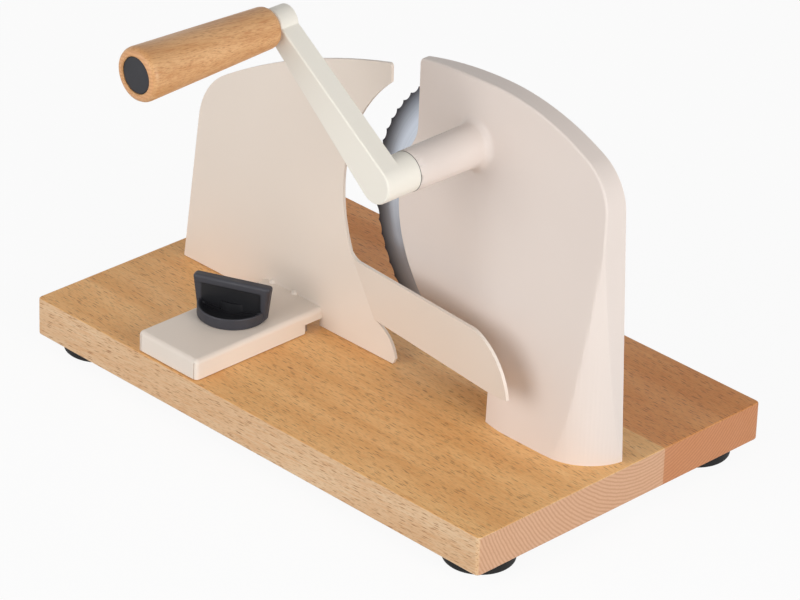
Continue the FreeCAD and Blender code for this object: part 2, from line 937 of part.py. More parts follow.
def gear_body(name, teeth, x, z, bore):
    """A spur gear of the shared module, seen from the front, with one space pointing up."""
    module = d.gear_module
    pitch = module * teeth / 2
    tip = pitch + module
    foot = pitch - module * 1.25
    body = new_body(name)
    outline = body.newObject("Sketcher::SketchObject", f"{name}_blank")
    outline.AttachmentSupport = [(origin_plane(body, "XY_Plane"), "")]
    outline.MapMode = "FlatFace"
    outline.addGeometry(Part.Circle(Vector(0, 0, 0), Vector(0, 0, 1), tip.value), False)
    outline.addGeometry(Part.Circle(Vector(0, 0, 0), Vector(0, 0, 1), value_of(bore)), False)
    for i, size in enumerate((tip, bore)):
        outline.addConstraint(Sketcher.Constraint("Coincident", i, 3, -1, 1))
        number = outline.addConstraint(Sketcher.Constraint("Radius", i, size.value))
        outline.setExpression(f"Constraints[{number}]", size.text)
    pad(body, f"{name}_width", outline, d.gear_width)
    # Half the angle of the space at a radius, from the involute of the base circle
    flat = 20
    base = pitch * cosine(flat)
    half_space = 90 / teeth + d.gear_backlash / pitch * 90 / math.pi / 2

    def half_angle(radius):
        slope = arc_cosine(base / radius)
        opened = (involute(slope) - (math.tan(math.radians(flat)) - math.radians(flat))) * 180 / math.pi
        return half_space + opened

    def spot(radius, angle, side):
        return (radius * sine(angle) * side, radius * cosine(angle))

    over = tip + 0.5
    low = foot if foot.value > base.value else base + 0.01
    low_angle = half_angle(low)
    tip_angle = half_angle(over)
    flank = pitch * math.sin(math.radians(flat))
    path = [
        spot(over, tip_angle, -1),
        spot(low, low_angle, -1),
        spot(foot, low_angle, -1),
        spot(foot, low_angle, 1),
        spot(low, low_angle, 1),
        spot(over, tip_angle, 1),
    ]
    path[0] = (*path[0], -flank)
    path[4] = (*path[4], -flank)
    if foot.value > base.value:
        del path[3]
        del path[1]
        path[2] = (path[2][0], path[2][1], -flank)
    space = sketch(body, f"{name}_space", path)
    space_cut = pocket(body, f"{name}_space_cut", space)
    doc.recompute()
    repeat_round(body, f"{name}_spaces", space_cut, space, teeth)
    return body


# Gear on the crank shaft, and the gear with a flange that carries the blade. At rest a space of
# the one points along the line of centres at a tooth of the other
line_tilt = Size(
    f"asin({(d.crank_offset / gear_distance).text})",
    math.degrees(math.asin((d.crank_offset / gear_distance).value)),
)


def turn_gear(body, x, z, turn):
    """Stand a gear on its axis, turned about it by an angle."""
    place(body, x, -gear_rear, z, TO_FRONT.multiply(Rotation(Vector(0, 0, 1), turn)))


crank_gear = gear_body("crank_gear_body", d.crank_teeth, crank_x, crank_z, d.shaft_radius + d.seat_gap)
tilt = line_tilt.value
turn_gear(crank_gear, crank_x, crank_z, tilt + 180)
keep(crank_gear, "crank_gear")

blade_bore = d.axle_radius + d.bush_wall
blade_gear_teeth = gear_body("blade_gear_body", d.blade_teeth, blade_x, blade_z, blade_bore + d.seat_gap)
turn_gear(blade_gear_teeth, blade_x, blade_z, tilt + 180 / d.blade_teeth.value)
flange = front_rod("blade_flange", d.flange_radius, blade_front, gear_rear + 0.5, blade_x, blade_z)
screw_places = []
for i in range(3):
    angle = 90 + 120 * i
    screw_places.append(
        (
            blade_x + d.blade_screw_circle * math.cos(math.radians(angle)),
            blade_z + d.blade_screw_circle * math.sin(math.radians(angle)),
        )
    )
gear_cuts = [front_rod("gear_bore", blade_bore + d.seat_gap, blade_rear - 5, deep, blade_x, blade_z)]
for i, (x, z) in enumerate(screw_places):
    gear_cuts.append(
        front_rod(
            f"gear_thread_{i}",
            d.blade_screw_radius + d.seat_gap,
            blade_rear - 1,
            gear_rear + 2.5,
            x,
            z,
        )
    )
keep(cut("blade_gear_bored", fuse("blade_gear_blank", blade_gear_teeth, flange), *gear_cuts), "blade_gear")

bearing = front_rod("blade_bush_blank", blade_bore, blade_rear, gear_front, blade_x, blade_z)
bearing_bore = front_rod("blade_bush_bore", d.axle_radius + d.fit_gap, blade_rear - 1, deep, blade_x, blade_z)
keep(cut("blade_bearing", bearing, bearing_bore), "blade_bush")

blade_screws = []
for i, (x, z) in enumerate(screw_places):
    start = blade_rear - d.blade_screw_head_height
    head = front_rod(f"blade_head_{i}", d.blade_screw_head, start, blade_rear, x, z)
    stem = front_rod(f"blade_stem_{i}", d.blade_screw_radius, start, gear_rear + 2, x, z)
    blade_screws.append(fuse(f"blade_screw_{i}", head, stem))
keep(group("blade_fixings", *blade_screws), "blade_screws")

# Round blade, ground from both sides to a thin rim with scalloped teeth
half_edge = d.blade_edge_thickness / 2
half_blade = d.blade_thickness / 2
blade_body = turned(
    "blade_body",
    [
        (blade_bore + d.seat_gap, -half_blade),
        (d.blade_radius - d.blade_bevel, -half_blade),
        (d.blade_radius, -half_edge),
        (d.blade_radius, half_edge),
        (d.blade_radius - d.blade_bevel, half_blade),
        (blade_bore + d.seat_gap, half_blade),
    ],
)
half_pitch_angle = 180 / d.tooth_count
half_gap = d.blade_radius * sine(half_pitch_angle) - d.tooth_land / 2
tooth_root = d.blade_radius - d.tooth_depth
rise = d.blade_radius * cosine(half_pitch_angle) - tooth_root
scallop = (square(half_gap) + square(rise)) / (rise * 2)
scallop_sketch = blade_body.newObject("Sketcher::SketchObject", "scallop")
scallop_sketch.AttachmentSupport = [(origin_plane(blade_body, "XY_Plane"), "")]
scallop_sketch.MapMode = "FlatFace"
scallop_centre = Vector((tooth_root + scallop).value, 0, 0)
scallop_sketch.addGeometry(Part.Circle(scallop_centre, Vector(0, 0, 1), scallop.value), False)
number = scallop_sketch.addConstraint(Sketcher.Constraint("Radius", 0, scallop.value))
scallop_sketch.setExpression(f"Constraints[{number}]", scallop.text)
number = scallop_sketch.addConstraint(Sketcher.Constraint("DistanceX", 0, 3, scallop_centre.x))
scallop_sketch.setExpression(f"Constraints[{number}]", (tooth_root + scallop).text)
scallop_sketch.addConstraint(Sketcher.Constraint("DistanceY", 0, 3, 0))
doc.recompute()
scallop_cut = pocket(blade_body, "scallop_cut", scallop_sketch)
doc.recompute()
repeat_round(blade_body, "teeth", scallop_cut, scallop_sketch, d.tooth_count)
place(
    blade_body,
    blade_x,
    -(blade_front + blade_rear) / 2,
    blade_z,
    TO_FRONT.multiply(Rotation(Vector(0, 0, 1), 132.6 - half_pitch_angle.value)),
)
blade_cuts = [
    front_rod(f"blade_hole_{i}", d.blade_screw_radius + d.fit_gap, blade_rear - 1, blade_front + 1, x, z)
    for i, (x, z) in enumerate(screw_places)
]
keep(cut("blade_bored", blade_body, *blade_cuts), "blade")

# Crank shaft and the clip that holds the gear on it
arm_rear = d.arm_front - d.arm_thickness
shaft_rear = plate_front + 0.2
keep(front_rod("shaft_bar", d.shaft_radius, shaft_rear, d.arm_front - 0.5, crank_x, crank_z), "crank_shaft")
clip = front_rod("clip_ring", d.shaft_radius + 2.5, gear_rear - 0.95, gear_rear, crank_x, crank_z)
clip_bore = front_rod("clip_bore", d.shaft_radius + d.seat_gap, back_face, deep, crank_x, crank_z)
keep(cut("clip_open", clip, clip_bore), "gear_clip")

# Crank arm, drawn along its own length: a hub, a tapering bar and an eye for the spindle
arm_body = new_body("arm_body")
hub = d.crank_hub_radius
tip_radius = d.arm_tip_radius
slope = (hub - tip_radius) / d.crank_radius
level = root(1 - square(slope))
arm_outline = sketch(
    arm_body,
    "arm_outline",
    [
        (hub * slope, hub * level, hub),
        (-hub, 0, hub),
        (hub * slope, -hub * level),
        (d.crank_radius + tip_radius * slope, -tip_radius * level, tip_radius),
        (d.crank_radius + tip_radius, 0, tip_radius),
        (d.crank_radius + tip_radius * slope, tip_radius * level),
    ],
)
pad(arm_body, "arm_pad", arm_outline, d.arm_thickness)
arm_turn = TO_FRONT.multiply(Rotation(Vector(0, 0, 1), d.crank_angle.value))
place(arm_body, crank_x, -arm_rear, crank_z, arm_turn)
handle_x = crank_x + d.crank_radius * cosine(d.crank_angle)
handle_z = crank_z + d.crank_radius * sine(d.crank_angle)
hub_rear = d.boss_front + d.crank_hub_gap
arm_hub = front_rod("arm_hub", hub, hub_rear, d.arm_front, crank_x, crank_z)
arm_eye = front_rod("arm_eye", d.arm_eye_radius, arm_rear, d.arm_front, handle_x, handle_z)
arm_blank = fuse("arm_blank", arm_body, arm_hub, arm_eye)
spindle_radius = d.shaft_radius
set_z = crank_z + 1
arm_cuts = [
    front_rod("arm_shaft_bore", d.shaft_radius + d.seat_gap, hub_rear - 1, d.arm_front - 0.45, crank_x, crank_z),
    front_rod("arm_spindle_bore", spindle_radius + d.seat_gap, arm_rear - 1, d.arm_front + 1, handle_x, handle_z),
    rod(
        "arm_set_bore",
        d.set_screw_radius + d.seat_gap,
        hub + 2,
        (crank_x, -(hub_rear + arm_rear) / 2, crank_z - hub - 2),
    ),
]
arm_round_blank = round_edges(
    "arm_rounded",
    arm_blank,
    d.arm_edge,
    lambda edge, shape: edge.BoundBox.YLength < 0.01 and edge.BoundBox.YMin < 0.01 - d.arm_front.value,
)
keep(cut("arm_bored", arm_round_blank, *arm_cuts), "crank_arm")
keep(
    rod(
        "set_screw_bar",
        d.set_screw_radius,
        hub - d.shaft_radius - 1,
        (crank_x, -(hub_rear + arm_rear) / 2, crank_z - hub + 0.6),
    ),
    "crank_set_screw",
)

# Turning handle on its spindle, with the cap that closes its end
handle_rear = d.arm_front + d.handle_gap
handle_end = handle_rear + d.handle_length
cap_start = handle_end - d.cap_thickness
head_end = cap_start - 0.5
head_rear = head_end - d.spindle_head_height
grip_length = d.handle_length
arm_round = d.handle_arm_round
end_round = d.handle_end_round
bore_radius = spindle_radius + d.fit_gap
head_well = d.spindle_head_radius + 0.3
grip = turned(
    "grip_body",
    [
        (bore_radius, 0),
        (d.handle_arm_radius - arm_round, 0, arm_round),
        (d.handle_arm_radius, arm_round),
        (d.handle_end_radius, grip_length - end_round, end_round),
        (d.handle_end_radius - end_round, grip_length),
        (d.cap_radius + d.seat_gap, grip_length),
        (d.cap_radius + d.seat_gap, cap_start - handle_rear),
        (head_well, cap_start - handle_rear),
        (head_well, head_rear - handle_rear - 0.1),
        (bore_radius, head_rear - handle_rear - 0.1),
    ],
)
place(grip, handle_x, -handle_rear, handle_z, TO_FRONT)
keep(grip, "handle_grip")
cap = turned(
    "cap_body",
    [
        (0, 0),
        (d.cap_radius, 0),
        (d.cap_radius, d.cap_thickness - d.cap_edge, d.cap_edge),
        (d.cap_radius - d.cap_edge, d.cap_thickness),
        (0, d.cap_thickness),
    ],
)
place(cap, handle_x, -cap_start, handle_z, TO_FRONT)
keep(cap, "grip_cap")
keep(
    fuse(
        "spindle_solid",
        front_rod("spindle_bar", spindle_radius, arm_rear + 0.3, head_end, handle_x, handle_z),
        front_rod("spindle_head", d.spindle_head_radius, head_rear, head_end, handle_x, handle_z),
    ),
    "handle_spindle",
)

# Fence plate, cut from sheet, with the finger bent forward in front of the blade
fence_back = d.fence_front - d.sheet
floor_z = board_top + d.fence_floor_gap
throat = d.blade_radius + d.throat_gap
fence_right_x = d.fence_right
throat_top_z = blade_z + root(square(throat) - square(blade_x - fence_right_x))
# Large corner between the leaning left side and the long arc of the top
side_x = -cosine(d.fence_left_lean)
side_z = sine(d.fence_left_lean)
top_end_x = fence_right_x - d.fence_right_round
top_end_z = throat_top_z + d.fence_right_edge
arc_x = top_end_x + d.fence_top_radius * sine(d.fence_top_lean)
arc_z = top_end_z - d.fence_top_radius * cosine(d.fence_top_lean)
side = floor_z * side_z - d.fence_left_foot * side_x
reach = d.fence_top_radius - d.fence_corner_radius
across = side - d.fence_corner_radius - (arc_x * side_x + arc_z * side_z)
along = root(square(reach) - square(across))
corner_x = arc_x + across * side_x + along * side_z
corner_z = arc_z + across * side_z - along * side_x
corner_top_x = arc_x + (corner_x - arc_x) * d.fence_top_radius / reach
corner_top_z = arc_z + (corner_z - arc_z) * d.fence_top_radius / reach
corner_side_x = corner_x + d.fence_corner_radius * side_x
corner_side_z = corner_z + d.fence_corner_radius * side_z
bend_top_x = -d.bend_top_across
bend_top_z = board_top + d.bend_top_height
bend_foot_x = -d.bend_foot_across
bend_foot_z = board_top + d.bend_foot_height
plate_body = new_body("fence_plate_body")
plate_outline = sketch(
    plate_body,
    "fence_plate_outline",
    [
        (-d.fence_left_foot, floor_z),
        (d.lobe_across - 2, floor_z),
        (d.lobe_across, board_top + d.lobe_height, d.lobe_radius),
        (bend_foot_x, bend_foot_z),
        (bend_top_x, bend_top_z, -throat),
        (fence_right_x, throat_top_z),
        (fence_right_x, top_end_z - d.fence_right_round, d.fence_right_round * 1.1),
        (top_end_x, top_end_z, d.fence_top_radius),
        (corner_top_x, corner_top_z, d.fence_corner_radius),
        (corner_side_x, corner_side_z),
    ],
)
pad(plate_body, "fence_plate_pad", plate_outline, d.sheet)
place(plate_body, 0, -fence_back, 0, TO_FRONT)

finger_body = new_body("finger_body")
bend_x = bend_foot_x - bend_top_x
bend_z = bend_foot_z - bend_top_z
finger_root_x = -bend_x + d.finger_root_radius * 0.88
finger_root_z = -bend_z - d.finger_root_radius * 0.23
finger_outline = sketch(
    finger_body,
    "finger_outline",
    [
        (-bend_x, -bend_z),
        (0, 0),
        (d.finger_reach - 19, d.finger_foot_rise),
        (d.finger_reach, d.finger_tip_height - 8, d.finger_tip_radius),
        (d.finger_shoulder, d.finger_tip_height + d.finger_tip_drop),
        (finger_root_x, finger_root_z, -d.finger_root_radius),
    ],
)
pad(finger_body, "finger_pad", finger_outline, d.sheet)
bend_line = Vector(bend_x.value, 0, bend_z.value)
finger_turn = Rotation(bend_line, d.bend_angle.value).multiply(TO_FRONT)
place(finger_body, bend_foot_x, -fence_back, bend_foot_z, finger_turn)

# Carriage: a tongue of the sheet folded forward, with its sides and front folded down
box_low_x = -d.box_left
box_high_x = box_low_x + d.box_width
box_top_z = board_top + d.box_height
tray = box(
    "carriage_outside",
    (box_low_x, -d.box_front, floor_z),
    (box_high_x, -fence_back, box_top_z),
)
tray_round = round_edges(
    "carriage_round",
    tray,
    d.box_bend,
    lambda edge, shape: (
        abs(edge.CenterOfMass.z - box_top_z.value) < 0.01
        and (edge.BoundBox.YLength > 50 or abs(edge.CenterOfMass.y + d.box_front.value) < 0.01)
    )
    or (edge.BoundBox.ZLength > 5 and abs(edge.CenterOfMass.y + d.box_front.value) < 0.01),
)
tray_inside = box(
    "carriage_inside",
    (box_low_x + d.sheet, -d.box_front + d.sheet, floor_z - 1),
    (box_high_x - d.sheet, -fence_back + 1, box_top_z - d.sheet),
)
notch = box(
    "carriage_notch",
    (box_low_x - 1, -fence_back - d.sheet - d.notch_length, floor_z - 1),
    (box_high_x + 1, -fence_back - d.sheet, floor_z + d.notch_height),
)
fence_blank = fuse("fence_blank", plate_body, finger_body, tray_round)
stud_hole = rod(
    "stud_hole", d.stud_radius + 0.4, d.box_height, (-d.knob_across, -d.knob_front, board_top + 5)
)
keep(cut("fence_cut", fence_blank, tray_inside, notch, stud_hole), "fence_plate")

# Rail under the carriage, with a slot for the nut that is open to the rear
inner_width = d.box_width - d.sheet * 2
rail_half = inner_width / 2 - d.rail_gap
rail_top = board_top + d.rail_height
rail_bar = box(
    "rail_bar",
    (rail_x - rail_half, -d.rail_front, board_top),
    (rail_x + rail_half, -d.rail_rear, rail_top),
)
slot = box(
    "rail_slot",
    (-d.knob_across - d.slot_width / 2, -d.slot_front, board_top + d.slot_floor),
    (-d.knob_across + d.slot_width / 2, -d.rail_rear + 1, rail_top + 1),
)
undercut = box(
    "rail_undercut",
    (-d.knob_across - d.slot_undercut / 2, -d.slot_front, board_top + d.slot_floor),
    (-d.knob_across + d.slot_undercut / 2, -d.rail_rear + 1, rail_top - d.slot_lip),
)
rail_threads = [
    rod(
        f"rail_thread_{i}",
        d.board_screw_radius + d.seat_gap,
        d.slot_floor + d.rail_height / 3 + 0.7,
        (x, y, board_top - 0.5),
    )
    for i, (x, y) in enumerate(rail_screw_places)
]
keep(cut("rail_cut", rail_bar, slot, undercut, *rail_threads), "slide_rail")

# Clamp: knob and stud turn in a nut that the rail's slot holds
nut_half = d.slot_undercut / 2 - d.nut_gap
nut_top = rail_top - d.slot_lip - d.nut_gap
nut = box(
    "nut_block",
    (-d.knob_across - nut_half, -d.knob_front - d.nut_length / 2, nut_top - d.nut_height),
    (-d.knob_across + nut_half, -d.knob_front + d.nut_length / 2, nut_top),
)
nut_bore = rod(
    "nut_bore", d.stud_radius + d.fit_gap, d.rail_height, (-d.knob_across, -d.knob_front, board_top)
)
keep(cut("nut_drilled", nut, nut_bore), "clamp_nut")
washer = rod(
    "washer_disc", d.washer_radius, d.washer_thickness, (-d.knob_across, -d.knob_front, box_top_z)
)
washer_bore = rod(
    "washer_bore", d.stud_radius + 0.3, d.washer_thickness + 2, (-d.knob_across, -d.knob_front, box_top_z - 1)
)
keep(cut("washer_open", washer, washer_bore), "clamp_washer")
stud_low = nut_top - d.nut_height
keep(
    rod(
        "stud_bar",
        d.stud_radius,
        box_top_z + d.knob_height - 1 - stud_low,
        (-d.knob_across, -d.knob_front, stud_low),
    ),
    "clamp_stud",
)
disc = turned(
    "knob_disc",
    [
        (0, d.knob_gap),
        (d.knob_radius, d.knob_gap),
        (d.knob_radius, d.knob_height - d.knob_edge),
        (d.knob_radius - d.knob_edge, d.knob_height),
        (d.knob_radius - d.knob_edge * 2.5, d.knob_height),
        (0, d.knob_height - d.knob_dish),
    ],
)
place(disc, -d.knob_across, -d.knob_front, box_top_z)
wing_body = new_body("wing_body")
half_wing = d.wing_length / 2
corner = d.wing_corner
wing_outline = sketch(
    wing_body,
    "wing_outline",
    [
        (-half_wing, 4),
        (half_wing, 4),
        (half_wing, d.wing_rise - corner, corner),
        (half_wing - corner, d.wing_rise),
        (corner - half_wing, d.wing_rise, corner),
        (-half_wing, d.wing_rise - corner),
    ],
    -d.wing_thickness / 2,
    "XZ_Plane",
)
pad(wing_body, "wing_pad", wing_outline, d.wing_thickness)
wing_turn = Rotation(Vector(0, 0, 1), d.wing_angle.value)
place(wing_body, -d.knob_across, -d.knob_front, box_top_z, wing_turn)
wing_hollows = []
for side in (-1, 1):
    # A hollow for the fingers in each side of the wing, under the lip along its top
    hollow_body = new_body(f"wing_hollow_{side + 1}")
    hollow_reach = half_wing - d.wing_post
    hollow_sketch = sketch(
        hollow_body,
        f"wing_hollow_outline_{side + 1}",
        [
            (-hollow_reach, side * d.wing_thickness / 2),
            (-hollow_reach, side * d.wing_thickness / 2 + side * 1.0),
            (hollow_reach, side * d.wing_thickness / 2 + side * 1.0),
            (hollow_reach, side * d.wing_thickness / 2),
            (hollow_reach - d.wing_hollow, side * (d.wing_thickness / 2 - d.wing_hollow)),
            (d.wing_hollow - hollow_reach, side * (d.wing_thickness / 2 - d.wing_hollow)),
        ],
        d.knob_height - d.knob_dish / 2,
    )
    depth = d.wing_rise - d.wing_lip - d.knob_height + d.knob_dish / 2
    pad(hollow_body, f"wing_hollow_pad_{side + 1}", hollow_sketch, depth)
    wing_hollows.append(place(hollow_body, -d.knob_across, -d.knob_front, box_top_z, wing_turn))
wing = cut("wing_hollowed", wing_body, *wing_hollows)
knob_blank = fuse("knob_blank", disc, wing)
knob_cuts = [
    rod(
        "knob_stud_bore",
        d.stud_radius + d.seat_gap,
        d.knob_height - 0.5,
        (-d.knob_across, -d.knob_front, box_top_z - 0.5),
    ),
    rod(
        "knob_washer_well",
        d.washer_radius + 0.3,
        d.washer_thickness + 0.15,
        (-d.knob_across, -d.knob_front, box_top_z - 0.1),
    ),
]
keep(cut("knob_bored", knob_blank, *knob_cuts), "knob")

doc.recompute()

for item in doc.Objects:
    if "Invalid" in item.State or "Error" in item.State:
        raise RuntimeError(f"{item.Label} failed: {item.State}")
os.makedirs("parts", exist_ok=True)
for item in PARTS:
    shape = item.Shape
    if shape.isNull() or not shape.isValid() or not shape.Solids:
        raise RuntimeError(f"{item.Label} has no valid solid")
for item in PARTS:
    item.Shape.exportStep(f"parts/{item.Label}.step")
    print(item.Label, len(item.Shape.Solids), round(item.Shape.Volume, 1))
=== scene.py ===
"""Looks of a hand-cranked bread slicer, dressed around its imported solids.

A beech board on rubber feet carries a thin-walled powder-coated housing, a round scalloped
blade, a sliding sheet-steel fence with its clamp knob, and a crank with a beech handle.
Lengths are in metres; sizes that a maker would read off a drawing are written in millimetres
and multiplied by MM.
"""

from __future__ import annotations

import json
import logging
import math
from dataclasses import dataclass
from enum import Enum

import bmesh
import bpy
from mathutils import Matrix, Vector

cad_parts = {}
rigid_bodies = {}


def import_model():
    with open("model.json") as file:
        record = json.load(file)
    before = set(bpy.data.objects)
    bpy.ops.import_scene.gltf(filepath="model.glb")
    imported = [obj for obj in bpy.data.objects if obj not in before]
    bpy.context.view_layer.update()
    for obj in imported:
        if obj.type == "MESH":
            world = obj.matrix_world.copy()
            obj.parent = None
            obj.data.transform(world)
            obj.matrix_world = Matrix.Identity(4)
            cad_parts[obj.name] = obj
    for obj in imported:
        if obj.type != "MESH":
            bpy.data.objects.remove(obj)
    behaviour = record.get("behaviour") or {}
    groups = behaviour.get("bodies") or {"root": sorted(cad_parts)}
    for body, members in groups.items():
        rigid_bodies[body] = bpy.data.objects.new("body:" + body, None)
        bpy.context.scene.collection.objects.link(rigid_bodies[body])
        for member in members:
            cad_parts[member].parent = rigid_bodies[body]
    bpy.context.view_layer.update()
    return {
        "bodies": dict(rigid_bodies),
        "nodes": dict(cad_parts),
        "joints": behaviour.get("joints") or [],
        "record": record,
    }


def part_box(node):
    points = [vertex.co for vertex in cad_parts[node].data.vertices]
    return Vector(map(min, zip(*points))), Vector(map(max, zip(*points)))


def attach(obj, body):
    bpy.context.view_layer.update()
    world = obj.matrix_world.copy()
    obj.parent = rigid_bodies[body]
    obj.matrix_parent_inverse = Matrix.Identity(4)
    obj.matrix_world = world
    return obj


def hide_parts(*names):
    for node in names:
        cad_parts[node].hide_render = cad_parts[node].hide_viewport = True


MM = 0.001
MERGE_GAP = 1e-6
ORIGIN = (0.0, 0.0, 0.0)
WHITE = (1.0, 1.0, 1.0, 1.0)

Socket = bpy.types.NodeSocket
Tree = bpy.types.NodeTree
Mesh = bmesh.types.BMesh
Triple = tuple[float, float, float]
Profile = tuple[tuple[float, float], ...]

logger = logging.getLogger("bread_slicer")


class Body(str, Enum):
    """Moving groups of the slicer."""

    BASE = "base"
    CRANK = "crank"
    HANDLE = "handle"
    BLADE_WHEEL = "blade_wheel"
    FENCE = "fence"
    CLAMP_KNOB = "clamp_knob"


class Slot(str, Enum):
    """Material slots of the record, passed along with new pieces."""

    BEECH = "beech"
    HANDLE_BEECH = "handle_beech"
    RUBBER = "rubber"
    ENAMEL = "enamel"
    PLATE_ENAMEL = "plate_enamel"
    CRANK_ENAMEL = "crank_enamel"
    DARK_PLASTIC = "dark_plastic"
    BLADE_STEEL = "blade_steel"


# --- materials


def linear(hex_colour: str) -> tuple[float, float, float, float]:
    """Turn an sRGB hex colour to linear.

    Args:
        hex_colour: Six hex digits, with or without a leading #.

    Returns:
        The colour as linear red, green, blue and alpha 1.
    """
    digits = hex_colour.lstrip("#")
    channels = [int(digits[i : i + 2], 16) / 255 for i in (0, 2, 4)]
    curve = [c / 12.92 if c <= 0.04045 else ((c + 0.055) / 1.055) ** 2.4 for c in channels]
    return (curve[0], curve[1], curve[2], 1.0)


def put(tree: Tree, kind: str, inputs: dict | None = None, **settings) -> bpy.types.Node:
    """Add a node with its settings and links.

    Args:
        tree: The node tree that gets it.
        kind: The node's type name.
        inputs: Value or output socket for each input, by name or number.
        **settings: The node's own properties.

    Returns:
        The new node.
    """
    node = tree.nodes.new(kind)
    for key, value in settings.items():
        setattr(node, key, value)
    for key, value in (inputs or {}).items():
        if isinstance(value, Socket):
            tree.links.new(value, node.inputs[key])
        else:
            node.inputs[key].default_value = value
    return node


def blank_material(name: str) -> tuple[bpy.types.Material, Tree, Socket]:
    """Start a node material.

    Args:
        name: The material's name.

    Returns:
        The material, its emptied tree and the object coordinates in metres.
    """
    material = bpy.data.materials.new(name)
    material.use_nodes = True
    tree = material.node_tree
    tree.nodes.clear()
    coordinates = put(tree, "ShaderNodeTexCoord").outputs["Object"]
    return material, tree, coordinates


def close_material(
    tree: Tree, colour: Socket, rough: Socket, normal: Socket, **extra: float
) -> None:
    """Add the shader and the output.

    Args:
        tree: The material's tree.
        colour: Base colour.
        rough: Roughness.
        normal: Bumped normal.
        **extra: Further inputs of the Principled shader, the same all over.
    """
    inputs = {"Base Color": colour, "Roughness": rough, "Normal": normal, **extra}
    shader = put(tree, "ShaderNodeBsdfPrincipled", inputs)
    put(tree, "ShaderNodeOutputMaterial", {"Surface": shader.outputs["BSDF"]})


def stretched(
    tree: Tree,
    coordinates: Socket,
    sizes_mm: Triple,
    shift: Triple = ORIGIN,
) -> Socket:
    """Scale coordinates so that one unit of a pattern has a real size.

    Args:
        tree: The material's tree.
        coordinates: Object coordinates in metres.
        sizes_mm: Size of one unit of the pattern along X, Y and Z.
        shift: Shift in pattern units.

    Returns:
        The scaled coordinates.
    """
    scale = tuple(1.0 / (size * MM) for size in sizes_mm)
    inputs = {"Vector": coordinates, "Scale": scale, "Location": shift}
    return put(tree, "ShaderNodeMapping", inputs).outputs["Vector"]


def ramp(tree: Tree, factor: Socket, low: float, high: float, start: float, end: float) -> Socket:
    """Map a value from one range to another, held at the ends.

    Args:
        tree: The material's tree.
        factor: The value.
        low: Value that gives start.
        high: Value that gives end.
        start: Result at low.
        end: Result at high.

    Returns:
        The mapped value.
    """
    inputs = {"Value": factor, "From Min": low, "From Max": high, "To Min": start, "To Max": end}
    return put(tree, "ShaderNodeMapRange", inputs, clamp=True).outputs["Result"]


def blend_colours(
    tree: Tree,
    factor: Socket | float,
    first: Socket | tuple,
    second: Socket | tuple,
    mode: str = "MIX",
) -> Socket:
    """Mix two colours.

    Args:
        tree: The material's tree.
        factor: Share of the second colour.
        first: First colour.
        second: Second colour.
        mode: Blend mode.

    Returns:
        The mixed colour.
    """
    inputs = {0: factor, 6: first, 7: second}
    return put(tree, "ShaderNodeMix", inputs, data_type="RGBA", blend_type=mode).outputs[2]


def noise(
    tree: Tree, vector: Socket, detail: float = 2.0, rough: float = 0.5
) -> Socket:
    """Add a noise of unit size.

    Args:
        tree: The material's tree.
        vector: Scaled coordinates.
        detail: Octaves.
        rough: Strength of the finer octaves.

    Returns:
        The noise value.
    """
    inputs = {"Vector": vector, "Scale": 1.0, "Detail": detail, "Roughness": rough}
    return put(tree, "ShaderNodeTexNoise", inputs).outputs["Fac"]


def maths(
    tree: Tree, operation: str, first: Socket, second: Socket | float | None = None
) -> Socket:
    """Add a calculation.

    Args:
        tree: The node tree.
        operation: What it does.
        first: First value.
        second: Second value, where the operation has one.

    Returns:
        The result.
    """
    inputs = {0: first} if second is None else {0: first, 1: second}
    return put(tree, "ShaderNodeMath", inputs, operation=operation).outputs[0]


def part_of(tree: Tree, vector: Socket, axis: str) -> Socket:
    """One part of a vector.

    Args:
        tree: The node tree.
        vector: The vector.
        axis: X, Y or Z.

    Returns:
        The part.
    """
    return put(tree, "ShaderNodeSeparateXYZ", {"Vector": vector}).outputs[axis]


def moved_to(tree: Tree, place: Socket, centre: Triple) -> Socket:
    """Coordinates counted from a centre.

    Args:
        tree: The material's tree.
        place: Object coordinates.
        centre: The centre in metres.

    Returns:
        The coordinates.
    """
    inputs = {"Vector": place, "Location": tuple(-v for v in centre)}
    return put(tree, "ShaderNodeMapping", inputs).outputs["Vector"]


def off_axis(tree: Tree, place: Socket, axis_point: Triple, kept: Triple) -> Socket:
    """Distance from an axis.

    Args:
        tree: The material's tree.
        place: Object coordinates.
        axis_point: A point of the axis, in metres.
        kept: 1 for the directions across the axis, 0 along it.

    Returns:
        The distance in metres.
    """
    moved = moved_to(tree, place, axis_point)
    flat = put(tree, "ShaderNodeVectorMath", {0: moved, 1: kept}, operation="MULTIPLY").outputs[0]
    return put(tree, "ShaderNodeVectorMath", {0: flat}, operation="LENGTH").outputs["Value"]


def seen_share(tree: Tree) -> Socket:
    """1 where the surface is seen straight, by reflection or through glass.

    Args:
        tree: The node tree.

    Returns:
        The share.
    """
    seen = put(tree, "ShaderNodeLightPath").outputs
    either = maths(tree, "MAXIMUM", seen["Is Camera Ray"], seen["Is Transmission Ray"])
    return maths(tree, "MAXIMUM", either, seen["Is Glossy Ray"])


def bump(tree: Tree, height: Socket, depth_mm: float) -> Socket:
    """Turn a height pattern to a bumped normal.

    Args:
        tree: The material's tree.
        height: Height from 0 to 1.
        depth_mm: Real depth of a height of 1.

    Returns:
        The normal.
    """
    inputs = {"Height": height, "Distance": depth_mm * MM, "Strength": 1.0}
    return put(tree, "ShaderNodeBump", inputs).outputs["Normal"]


